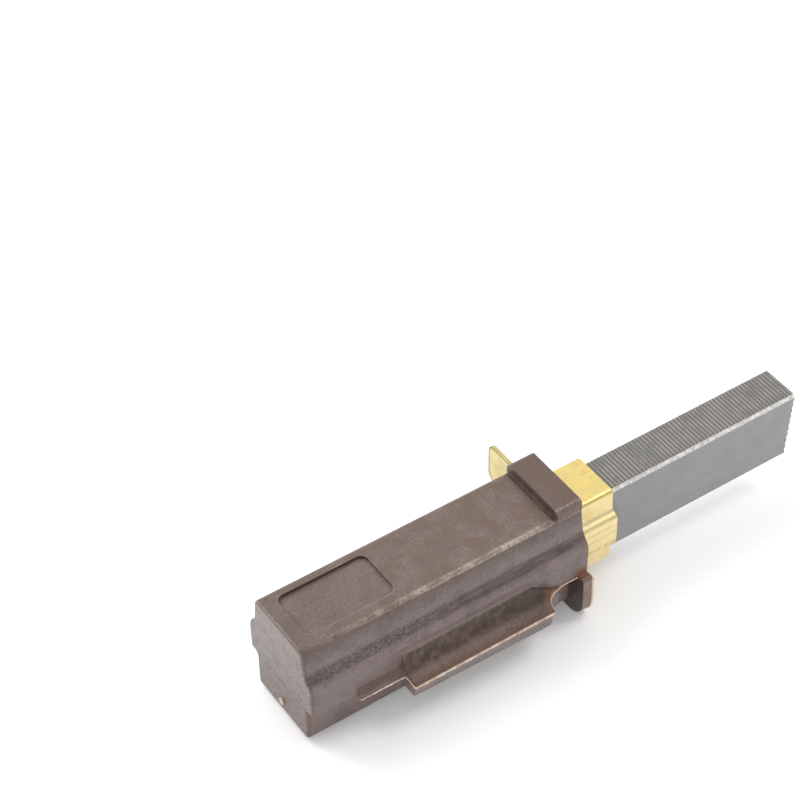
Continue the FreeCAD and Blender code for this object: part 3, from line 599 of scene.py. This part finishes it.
# %% Wire, copper and flash
def metal_finish(name, size_mm, detail, stretch_x, colours, gloss, depth_mm):
    """A bare metal in two shades. gloss is the roughness at either end of the noise."""
    f = Finish(name, Metallic=1.0)
    pattern = f.noise(size_mm, detail, f.stretched(stretch_x, 1.0, 1.0))
    f.into("Base Color", f.mix(pattern, *colours))
    f.into("Roughness", f.fade(pattern, 0.3, 0.7, *gloss))
    f.into("Normal", f.bump(pattern, depth_mm))
    return f.material


def flash_finish():
    f = Finish("broken_flash", Specular_IOR_Level=0.5)
    patches = f.noise(2.4, 4.0)
    f.colour = f.mix(f.fade(patches, 0.4, 0.65), (0.86, 0.7, 0.58), (0.66, 0.45, 0.32))
    f.paint((0.26, 0.19, 0.165), f.fade(f.along, -33.2, -33.6),
            f.fade(patches, 0.6, 0.5, 0.45, 0.95))
    f.into("Base Color", f.colour)
    f.into("Roughness", f.fade(f.noise(0.4), 0.3, 0.7, 0.35, 0.6))
    f.into("Normal", f.bump(patches, 0.02))
    return f.material


wire = metal_finish("spring_wire", 0.15, 3.0, 1.0,
                    ((0.42, 0.42, 0.43), (0.6, 0.59, 0.57)), (0.22, 0.38), 0.004)
copper = metal_finish("copper_braid", 0.12, 2.0, 0.3,
                      ((0.78, 0.42, 0.26), (0.93, 0.6, 0.42)), (0.3, 0.5), 0.01)
flash = flash_finish()
print("made", wire.name, copper.name, flash.name)

# %% [markdown]
# ## From a grid of points to a mesh
#
# Each new surface is an array of points with rows and columns. Neighbouring rows and
# columns make the faces, and a surface that closes on itself joins its last column to its
# first. Several grids can share one mesh. Points that meet are then merged, and the
# normals are worked out again so that they point outwards.

# %% Grids into a mesh
def grid_faces(rows, columns, closed, first):
    """Corner numbers of the quads of a rows by columns grid, counted from first."""
    steps = columns if closed else columns - 1
    row, column = np.meshgrid(np.arange(rows - 1), np.arange(steps), indexing="ij")
    after = (column + 1) % columns
    quads = np.stack([row * columns + column, row * columns + after,
                      (row + 1) * columns + after, (row + 1) * columns + column], axis=-1)
    return quads.reshape(-1, 4) + first


print("faces of a closed strip of 2 by 8 points:", len(grid_faces(2, 8, True, 0)))

# %% [markdown]
# ## From a mesh to a piece
#
# Every piece is smooth, has one material, stays at the origin and rides on a body, so two
# helpers do it alike for all: one for any mesh, and one that joins grids first.

# %% Pieces
def smooth_piece(mesh, material, body):
    """The mesh as a smooth object of one material, at the origin, riding on the body."""
    mesh.materials.clear()
    mesh.materials.append(material)
    mesh.polygons.foreach_set("use_smooth", np.ones(len(mesh.polygons), bool))
    piece = bpy.data.objects.new(mesh.name, mesh)
    bpy.context.scene.collection.objects.link(piece)
    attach(piece, body)
    return piece


def surface(name, grids, material, body, smooth_angle, merge_mm=0.001):
    """A piece made of grids, each a pair of its points in millimetres and whether its
    columns close. Edges sharper than smooth_angle stay sharp."""
    points, faces, count = [], [], 0
    for grid, closed in grids:
        rows, columns = grid.shape[:2]
        points.append(grid.reshape(-1, 3))
        faces.append(grid_faces(rows, columns, closed, count))
        count += rows * columns
    mesh = bpy.data.meshes.new(name)
    mesh.from_pydata((np.concatenate(points) * MM).tolist(), [], np.concatenate(faces).tolist())
    shape = bmesh.new()
    shape.from_mesh(mesh)
    bmesh.ops.remove_doubles(shape, verts=shape.verts, dist=merge_mm * MM)
    bmesh.ops.dissolve_degenerate(shape, edges=shape.edges, dist=merge_mm * MM * 0.5)
    bmesh.ops.recalc_face_normals(shape, faces=shape.faces)
    shape.to_mesh(mesh)
    shape.free()
    piece = smooth_piece(mesh, material, body)
    mesh.set_sharp_from_angle(angle=np.radians(smooth_angle))
    print("%s: %d faces" % (name, len(mesh.polygons)))
    return piece


print("CAD pieces to dress:", len(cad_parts))

# %% [markdown]
# ## The moulded housing
#
# The CAD solid has the right shape, but its small edges are perfectly sharp, and a real
# moulding has none that are. The solid is copied, its loose triangles are merged and the
# flat ones joined, and the long sharp edges are bevelled by a sixth of a millimetre, those
# round the rear face by a third. Rounded edges catch the light, which is most of what
# makes plastic look real. The shader's Bevel node rounds the short edges that are left.

# %% Rounded edges
SHARP, FLAT = np.radians(32), np.radians(0.6)


def round_edges(shape, width_mm, longer_mm, segments, where=None):
    """Bevel the sharp edges that are longer than a limit. Where short edges crowd
    together a bevel would overlap itself, so those are left to the shader."""
    edges = [e for e in shape.edges if len(e.link_faces) == 2 and e.calc_face_angle(0) > SHARP
             and e.calc_length() > longer_mm * MM and (where is None or where(e))]
    bmesh.ops.bevel(shape, geom=edges, offset=width_mm * MM, offset_type="OFFSET",
                    segments=segments, profile=0.5, affect="EDGES", clamp_overlap=False,
                    loop_slide=True)
    return len(edges)


print("edges are rounded from %.0f degrees" % np.degrees(SHARP))

# %% [markdown]
# ## Even normals
#
# Long thin faces beside broad ones would bend the light across a flat wall. Blender's
# Weighted Normal modifier mends most of that, but it twists the light where a wall is
# made of several faces. Here each corner gets its own mean of the faces round it.

# %% Even normals
def read(items, name, kind=np.float32, width=1):
    """An attribute of all vertices, corners or faces as an array, a row for each."""
    values = np.empty(len(items) * width, kind)
    items.foreach_get(name, values)
    return values.reshape(-1, width) if width > 1 else values


def even_normals(mesh, lean=50.0):
    """Every corner of a face gets the mean normal of the faces round its vertex that lean
    less than so many degrees from its own face, each counted by its area squared. A wide
    flat face then stays flat, and the narrow faces of a rounded edge turn between two."""
    corner_vertex = read(mesh.loops, "vertex_index", np.int32)
    corners = read(mesh.polygons, "loop_total", np.int32)
    area, normal = read(mesh.polygons, "area"), read(mesh.polygons, "normal", width=3)
    order = np.argsort(corner_vertex, kind="stable")
    face = np.repeat(np.arange(len(corners)), corners)[order]
    vertex = corner_vertex[order]
    own = normal[face].astype(float)
    share = own * ((area[face] / MM ** 2) ** 2 + 1e-9)[:, None]
    total = share.copy()
    for step in range(1, int(np.bincount(vertex).max())):
        alike = (own[step:] * own[:-step]).sum(axis=1) > np.cos(np.radians(lean))
        near = (vertex[step:] == vertex[:-step]) & alike
        total[step:][near] += share[:-step][near]
        total[:-step][near] += share[step:][near]
    total /= np.linalg.norm(total, axis=1)[:, None]
    result = np.empty_like(total)
    result[order] = total
    mesh.normals_split_custom_set(result.tolist())


housing_area = read(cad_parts["housing"].data.polygons, "area").sum() / MM ** 2
print("surface of the CAD housing: %.0f square mm" % housing_area)

# %% [markdown]
# ## A dressed copy
#
# The pieces that keep their CAD shape are all made alike: copied, cleaned, rounded and
# given a material. The CAD node itself is never touched, and the copy stands in for it.

# %% A dressed copy of a CAD node
def dressed_copy(node_name, piece_name, material, body, rounding, reshape=None):
    """Copy of a CAD node with merged points, joined flat faces and rounded edges. Each
    entry of rounding is a width, a least length of edge, segments and a choice of edges."""
    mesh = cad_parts[node_name].data.copy()
    mesh.name = piece_name
    points = read(mesh.vertices, "co", width=3) / MM
    if reshape:
        reshape(points)
    mesh.vertices.foreach_set("co", (points * MM).ravel())
    shape = bmesh.new()
    shape.from_mesh(mesh)
    bmesh.ops.remove_doubles(shape, verts=shape.verts, dist=0.002 * MM)
    bmesh.ops.dissolve_limit(shape, angle_limit=FLAT, verts=shape.verts, edges=shape.edges)
    rounded = [round_edges(shape, *step) for step in rounding]
    shape.to_mesh(mesh)
    shape.free()
    piece = smooth_piece(mesh, material, body)
    even_normals(mesh)
    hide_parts(node_name)
    print("%s: %d faces, rounded edges %s" % (piece_name, len(mesh.polygons), rounded))
    return piece


print("faces of the CAD housing:", len(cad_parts["housing"].data.polygons))

# %% [markdown]
# ## The housing's own edges
#
# The rear edges were at the far end of the mould, and they are the roundest. They are
# chosen by place, and the stub of the sprue in the middle of the rear face stays out. In
# the CAD model the hollow over each wing ends in a ledge a tenth of a millimetre wide. A
# real one runs out into the side, so the ledge's points are laid against it.

# %% Moulded housing
LEDGE = SIDE + 0.1
STUB_HEIGHT, STUB_REACH = -5.6, 1.0


def at_rear(edge):
    """An edge round the rear face, apart from those of the small stub in its middle."""
    ends = [v.co / MM for v in edge.verts]
    return all(p.x < REAR + 0.05 and p.y ** 2 + (p.z - STUB_HEIGHT) ** 2 > STUB_REACH ** 2
               for p in ends)


def close_ledge(points):
    """The narrow ledge at the top of the hollow above each wing is laid against the side."""
    y, z = points[:, 1], points[:, 2]
    ledge = (np.abs(np.abs(y) - LEDGE) < 0.02) & (np.abs(z - HOLLOW_TOP) < 0.02)
    points[ledge, 1] = np.sign(y[ledge]) * SIDE
    print("ledge points laid against the side:", int(ledge.sum()))


moulded_housing = dressed_copy("housing", "moulded_housing", moulding, "holder",
                               [(0.36, 0.0, 4, at_rear), (0.16, 0.5, 3)], close_ledge)

# %% [markdown]
# ## Flash along the parting plane
#
# Where the two halves of the mould met, a thread of plastic squeezed out and broke off.
# It follows the outline of the part in the parting plane: along the foot of the side,
# round the notch, along the wing's edge and back in to the rail. Another runs round the
# flange. Each outline is a few corners with a thickness, taken from the named places.

# %% Outlines that the flash follows
RAIL, RAIL_REAR = 7.85, -33.3


def wing_line(side):
    """Corners and the notch's arc, a little below the parting plane. Each row of a run is
    an x, a y and a thickness."""
    start = np.array([[0.0, SIDE, 0.1], [-1.5, SIDE, 0.1], [-2.9, SIDE + 0.02, 0.1]])
    angle = np.radians(np.linspace(0, 90, 19))
    notch = np.stack([NOTCH[0] - NOTCH_RADIUS * np.sin(angle),
                      NOTCH[1] - NOTCH_RADIUS * np.cos(angle), np.full(19, 0.15)], axis=1)
    end = np.array([[-12.0, WING, 0.15], [-20.0, WING, 0.15], [WING_REAR + 0.1, WING, 0.15],
                    [WING_REAR, WING - 0.1, 0.15], [WING_REAR, 8.6, 0.12],
                    [WING_REAR - 0.05, RAIL + 0.05, 0.1], [-30.0, RAIL, 0.11],
                    [RAIL_REAR + 0.1, RAIL, 0.1], [RAIL_REAR, 7.5, 0.05]])
    x, y, thick = np.concatenate([start, notch, end]).T
    return np.stack([x, y * side, np.full(len(x), PARTING - 0.2)], axis=1), thick


def rear_line(side):
    """From the end of the rail to the rear face, where hardly any flash is left."""
    x = np.array([RAIL_REAR - 0.1, -36.0, REAR + 0.1])
    line = np.stack([x, np.full(3, SIDE * side), np.full(3, PARTING)], axis=1)
    return line, np.array([0.02, 0.035, 0.02])


def flange_line():
    """Round the edge of the flange's front: down one side, round two corners and up."""
    angle = np.radians(np.linspace(0, 90, 10))
    y = np.concatenate([[8.22, 8.22], 5.4 + 2.82 * np.cos(angle)])
    z = np.concatenate([[-2.0, -4.0], -6.4 - 2.78 * np.sin(angle)])
    y, z = np.concatenate([-y, y[::-1]]), np.concatenate([z, z[::-1]])
    return np.stack([np.full(len(y), 1.48), y, z], axis=1), np.full(len(y), 0.15)


print("points round a wing:", len(wing_line(1.0)[1]))

# %% [markdown]
# ## The thread itself
#
# A ring of eight points is carried along each outline. It could be one even tube, but the
# real thread broke off in bites, so its radius is uneven, and it ends in a point.

# %% Flash threads
BITES = ((0.22, 3.1, 0.0), (0.18, 7.7, 1.0), (0.12, 17.0, 2.0))


def resampled(line, values, step):
    """Points every step millimetres along a broken line, and the values at them."""
    length = np.concatenate([[0], np.cumsum(np.linalg.norm(np.diff(line, axis=0), axis=1))])
    here = np.arange(0, length[-1], step)
    points = np.stack([np.interp(here, length, line[:, k]) for k in range(3)], axis=1)
    return points, np.interp(here, length, values), here


def thread_grid(line, thick, up=(0.0, 0.0, 1.0), step=0.12, corners=8):
    """A ring of corners points round each point of the line. The ring's radius is the
    thickness times one plus a few sines of the distance run, each with a size, a rate and
    a start. The line lies in a plane whose normal is up."""
    centre, radius, run = resampled(line, thick, step)
    ragged = 1 + sum(size * np.sin(run * rate + start) for size, rate, start in BITES)
    radius = radius * ragged
    radius[0] = radius[-1] = 0.0005
    ahead = np.gradient(centre, axis=0)
    ahead /= np.linalg.norm(ahead, axis=1)[:, None]
    up = np.array(up)
    aside = np.cross(ahead, up)
    angle = np.linspace(0, 2 * np.pi, corners, endpoint=False)
    ring = aside[:, None, :] * np.cos(angle)[None, :, None] + up * np.sin(angle)[None, :, None]
    return centre[:, None, :] + ring * radius[:, None, None]


grids = [(thread_grid(*flange_line(), up=(1.0, 0.0, 0.0)), True)]
for side in (-1.0, 1.0):
    for line, thick in (wing_line(side), rear_line(side)):
        grids.append((thread_grid(line, thick), True))
flash_threads = surface("flash_threads", grids, flash, "holder", smooth_angle=80, merge_mm=0.0005)

# %% [markdown]
# ## Brass guide, terminal and spring seat
#
# The CAD solids of the brass pieces already have their folds, and sheet metal is blanked
# with a small burr radius. The same rounded copy serves for the guide and the terminal with
# a finer bevel, and the spring seat keeps its CAD mesh with the brass. The terminal's edges,
# which look away from X, were sheared and get the darker brass.

# %% Brass pieces
brass_guide = dressed_copy("guide_tube", "brass_guide", brass, "holder", [(0.07, 0.0, 2)])
brass_terminal = dressed_copy("terminal_blade", "brass_terminal", terminal_brass, "holder",
                              [(0.06, 0.0, 2)])
brass_terminal.data.materials.append(sheared_brass)
facing = read(brass_terminal.data.polygons, "normal", width=3)
on_edge = np.abs(facing[:, 0]) < 0.8
brass_terminal.data.polygons.foreach_set("material_index", on_edge.astype(np.int32))
print("sheared faces of the terminal:", int(on_edge.sum()))
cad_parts["spring_seat"].data.materials.clear()
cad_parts["spring_seat"].data.materials.append(brass)

# %% [markdown]
# ## The carbon block
#
# The block is a profile carried along X: a rectangle with four chamfers. On the face
# towards the panel the pressing tool left ribs right across it, a little over half a
# millimetre apart. They are a rounded wave that is subtracted from the height, with its
# depth and spacing slightly uneven. The contact face is slanted and has coarse grooves
# for bedding in. Both are plain functions of x or z, so any point can be asked for them.

# %% Section, ribs and contact face
BLOCK_REAR, BLOCK_TIP, BLOCK_SLANT = -4.6, 38.4, 0.7
CHAMFER = 0.5
BED_PITCH, BED_DEPTH, FIRST_BED = 1.05, 0.18, -4.2
DEEP_GROOVE = 20.26


def block_outline(count_side=60, count_narrow=18, count_chamfer=4):
    """Points round the block's section, starting at the lower chamfer on the -Y side.
    Each straight run of the outline is divided evenly."""
    w, h, c = BLOCK_HALF_WIDTH, BLOCK_HALF_HEIGHT, CHAMFER
    corners = [(-w, -h + c), (-w, h - c), (-w + c, h), (w - c, h),
               (w, h - c), (w, -h + c), (w - c, -h), (-w + c, -h)]
    counts = [count_side, count_chamfer, count_narrow, count_chamfer] * 2
    runs = []
    for (y0, z0), (y1, z1), count in zip(corners, corners[1:] + corners[:1], counts):
        share = np.arange(count)[:, None] / count
        runs.append(np.array([[y0, z0]]) * (1 - share) + np.array([[y1, z1]]) * share)
    return np.concatenate(runs)


def rib_drop(x):
    """Depth of the grooves at each x: a cosine wave raised to a power, so that ribs are
    broad and grooves narrow, with slow changes of depth and one groove that is deeper."""
    phase = 2 * np.pi * (x - FIRST_GROOVE) / RIB_PITCH + SWAY * np.sin(x * SWAY_RATE)
    wave = 0.5 + 0.5 * np.cos(phase)
    depth = 0.085 + 0.02 * np.sin(x * 0.9) + 0.015 * np.sin(x * 2.3 + 1)
    single = 0.05 * np.exp(-((x - DEEP_GROOVE) / 0.12) ** 2)
    return depth * wave ** 2.2 + single


def face_place(z):
    """The contact face at each height: its slant, less the cube of a cosine wave."""
    wave = 0.5 + 0.5 * np.cos(2 * np.pi * (z - FIRST_BED) / BED_PITCH)
    slant = BLOCK_SLANT * (BLOCK_HALF_HEIGHT - z) / (2 * BLOCK_HALF_HEIGHT)
    return BLOCK_TIP - slant - BED_DEPTH * wave ** 3


print("points round the section:", len(block_outline()))

# %% [markdown]
# ## The block's surface
#
# The section is carried from the rear to the slanted face in 400 rows. Pressing leaves
# the ribs only on the face towards the panel, so their depth fades out within a tenth of
# a millimetre below it, and the chamfers get a slight waviness from the grinding.

# %% Carbon block
def block_grids():
    """x goes evenly from the rear to the contact face, the ribs are taken off z on top,
    and the chamfers are scaled by one plus a product of two sines. A cap of rings that
    shrink to the axis closes each end."""
    outline = block_outline()
    y, z = outline[:, 0], outline[:, 1]
    share = np.linspace(0, 1, 400)[:, None]
    end = face_place(z)[None, :]
    x = BLOCK_REAR + share * (end - BLOCK_REAR)
    on_top = np.clip((z - (BLOCK_HALF_HEIGHT - 0.12)) / 0.12, 0, 1)[None, :]
    drop = rib_drop(x) * on_top
    rough = 0.012 * np.sin(x * 9.1 + y * 5) * np.sin(z * 7.3 + x * 2.1)
    ground = BLOCK_HALF_WIDTH + BLOCK_HALF_HEIGHT - CHAMFER - 0.02
    near_edge = (np.abs(y) + np.abs(z))[None, :] > ground
    scale = 1 + rough * near_edge / BLOCK_HALF_WIDTH
    side = np.stack([x, y[None, :] * scale, z[None, :] * scale - drop], axis=-1)
    rings = np.linspace(1, 0, 14)[:, None]
    tip_y, tip_z = side[-1, :, 1] * rings, side[-1, :, 2] * rings
    tip = np.stack([face_place(tip_z), tip_y, tip_z], axis=-1)
    tip[0] = side[-1]
    rear = side[0] * np.array([0, 1, 1]) * rings[:, :, None] + np.array([BLOCK_REAR, 0, 0])
    return [(side, True), (tip, True), (rear, True)]


carbon_block = surface("carbon_block", block_grids(), carbon, "brush", smooth_angle=30)
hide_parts("carbon_brush")

# %% [markdown]
# ## Spring and shunt
#
# Both are inside the closed holder and change their length as the brush wears. A coil is
# a small circle carried round a helix, and a braid is a tube whose radius follows two
# crossed sets of waves.

# %% Spring and shunt
SPRING_START, SPRING_END = -36.67, -4.85
SHUNT_START, SHUNT_END = -37.52, 1.4


def helix_grid(turns=11.0, dead=1.0, wire_radius=0.25, coil_radius=2.45, steps=32, corners=12):
    """Centre of the wire: radius coil_radius at the angle, and a height that rises slowly
    over the dead turns at both ends and evenly between them."""
    turn = np.linspace(0, turns, int(turns * steps) + 1)
    length = SPRING_END - SPRING_START
    closed = 2 * dead * wire_radius
    height = np.interp(turn, [0, dead, turns - dead, turns], [0, closed, length - closed, length])
    angle, ring = turn * 2 * np.pi, np.linspace(0, 2 * np.pi, corners, endpoint=False)
    radius = coil_radius + wire_radius * np.cos(ring)[None, :]
    x = SPRING_START + height[:, None] + wire_radius * np.sin(ring)[None, :]
    grid = np.stack([x, radius * np.cos(angle)[:, None], radius * np.sin(angle)[:, None]], axis=-1)
    first, last = (np.broadcast_to(grid[k].mean(axis=0), (1, corners, 3)) for k in (0, -1))
    return np.concatenate([first, grid, last])


def braid_grid(radius=0.76, strand=0.035, strands=6, twist=5.2, rows=420, columns=48):
    """Tube along X. Two sines of the angle wind opposite ways along it, and the radius is
    a base plus a small share of whichever is higher."""
    x = np.linspace(SHUNT_START, SHUNT_END, rows)[:, None]
    angle = np.linspace(0, 2 * np.pi, columns, endpoint=False)[None, :]
    one = np.sin(strands * angle + x * twist)
    other = np.sin(strands * angle - x * twist)
    r = radius + strand * np.maximum(one, other)
    r = r * np.where((x == SHUNT_START) | (x == SHUNT_END), 0.0, 1.0)
    return np.stack([np.broadcast_to(x, r.shape), r * np.cos(angle), r * np.sin(angle)], axis=-1)


coil_spring = surface("coil_spring", [(helix_grid(), True)], wire, "holder", 60)
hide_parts("brush_spring")
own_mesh(coil_spring)
copper_shunt = surface("copper_shunt", [(braid_grid(), True)], copper, "holder", 60)
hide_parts("shunt_wire")
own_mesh(copper_shunt)

# %% [markdown]
# ## Floor
#
# The holder lies on its lug and on the lower edge of its flange, so the floor is slightly
# tilted in this frame. It is a white sheet that keeps its soft shadows. Rays that come
# from the camera, and mirrored rays, find it a little brighter, so that it ends in white.

# %% Floor
FLOOR_AT_ORIGIN, FLOOR_SLOPE = -9.2, -0.8 / 24.2
FLOOR_REACH, FLOOR_COUNT = 4000.0, 5
FLOOR_GLOW = 0.17


def floor_grid():
    """A square grid whose height is a plane that rises or falls evenly along X."""
    ticks = np.linspace(-FLOOR_REACH, FLOOR_REACH, FLOOR_COUNT)
    x, y = np.meshgrid(ticks, ticks, indexing="ij")
    return np.stack([x, y, FLOOR_AT_ORIGIN + FLOOR_SLOPE * x], axis=-1)


def floor_finish():
    f = Finish("white_floor", Roughness=0.7, Specular_IOR_Level=0.2)
    f.into("Base Color", f.mix(f.noise(40.0, 2.0), (0.9, 0.9, 0.9), (0.92, 0.92, 0.92)))
    path = f.nodes.new("ShaderNodeLightPath").outputs
    seen = f.sum("MAXIMUM", path["Is Camera Ray"], path["Is Glossy Ray"])
    seen = f.sum("MAXIMUM", seen, path["Is Transmission Ray"])
    f.shader.inputs["Emission Color"].default_value = (1, 1, 1, 1)
    f.into("Emission Strength", f.times(seen, FLOOR_GLOW))
    return f.material


floor_mesh = bpy.data.meshes.new("floor")
floor_mesh.from_pydata((floor_grid().reshape(-1, 3) * MM).tolist(), [],
                       grid_faces(FLOOR_COUNT, FLOOR_COUNT, False, 0).tolist())
floor_mesh.materials.append(floor_finish())
floor = bpy.data.objects.new("floor", floor_mesh)
bpy.context.scene.collection.objects.link(floor)
if floor_mesh.polygons[0].normal.z < 0:
    floor_mesh.flip_normals()
print("floor faces up:", floor_mesh.polygons[0].normal.z > 0)

# %% [markdown]
# ## Light
#
# A light tent: bright and soft from above and behind, darker towards the camera. The
# shadow in the picture falls towards the lower right, so the main lamp stands behind and
# to the left. Faces that look straight at the camera reflect the dark side of the tent,
# which gives the hollow bands of the moulding their depth.

# %% Lamps
def soft_lamp(name, place_mm, size_mm, power):
    """A square lamp that looks at the origin."""
    data = bpy.data.lights.new(name, "AREA")
    data.shape = "SQUARE"
    data.size = size_mm * MM
    data.energy = power
    lamp = bpy.data.objects.new(name, data)
    place = Vector(place_mm) * MM
    aim = (-place).to_track_quat("-Z", "Y").to_matrix().to_4x4()
    lamp.matrix_world = Matrix.Translation(place) @ aim
    bpy.context.scene.collection.objects.link(lamp)


soft_lamp("lamp_behind", (-160, 400, 430), 420, 2.1)
soft_lamp("lamp_above", (300, -60, 400), 200, 0.75)

# %% [markdown]
# ## The tent
#
# Real tents are white cloth round a table. Here the world's background stands for one,
# because it lights from all sides without a lamp in any reflection. Its brightness is a
# product of two ramps: one goes up from the floor's level, the other to the dark side.

# %% World
DARK_DIRECTION = Vector((0.42, -0.85, 0.32)).normalized()

world = bpy.data.worlds.new("tent")
bpy.context.scene.world = world
world.use_nodes = True
world_nodes, world_links = world.node_tree.nodes, world.node_tree.links
direction = world_nodes.new("ShaderNodeTexCoord").outputs["Generated"]


def along_axis(axis):
    """How far the direction of a ray points along an axis, from -1 to 1."""
    node = world_nodes.new("ShaderNodeVectorMath")
    node.operation = "DOT_PRODUCT"
    world_links.new(direction, node.inputs[0])
    node.inputs[1].default_value = axis
    return node.outputs["Value"]


def ramp(value, kind, *limits):
    """A step between two strengths: start, end, strength at the start and at the end."""
    node = world_nodes.new("ShaderNodeMapRange")
    node.interpolation_type = kind
    world_links.new(value, node.inputs[0])
    for number, limit in enumerate(limits, start=1):
        node.inputs[number].default_value = limit
    return node.outputs[0]


by_height = ramp(along_axis((0, 0, 1)), "LINEAR", 0.0, 0.8, 1.2, 0.75)
by_side = ramp(along_axis(DARK_DIRECTION), "SMOOTHSTEP", 0.4, 0.9, 1.0, 0.45)
strength = world_nodes.new("ShaderNodeMath")
strength.operation = "MULTIPLY"
world_links.new(by_height, strength.inputs[0])
world_links.new(by_side, strength.inputs[1])
background = world_nodes["Background"]
background.inputs["Color"].default_value = (1, 1, 1, 1)
world_links.new(strength.outputs[0], background.inputs["Strength"])
bpy.context.scene.view_settings.view_transform = "Standard"
print("world", world.name, "of", len(world_nodes), "nodes")

# %% [markdown]
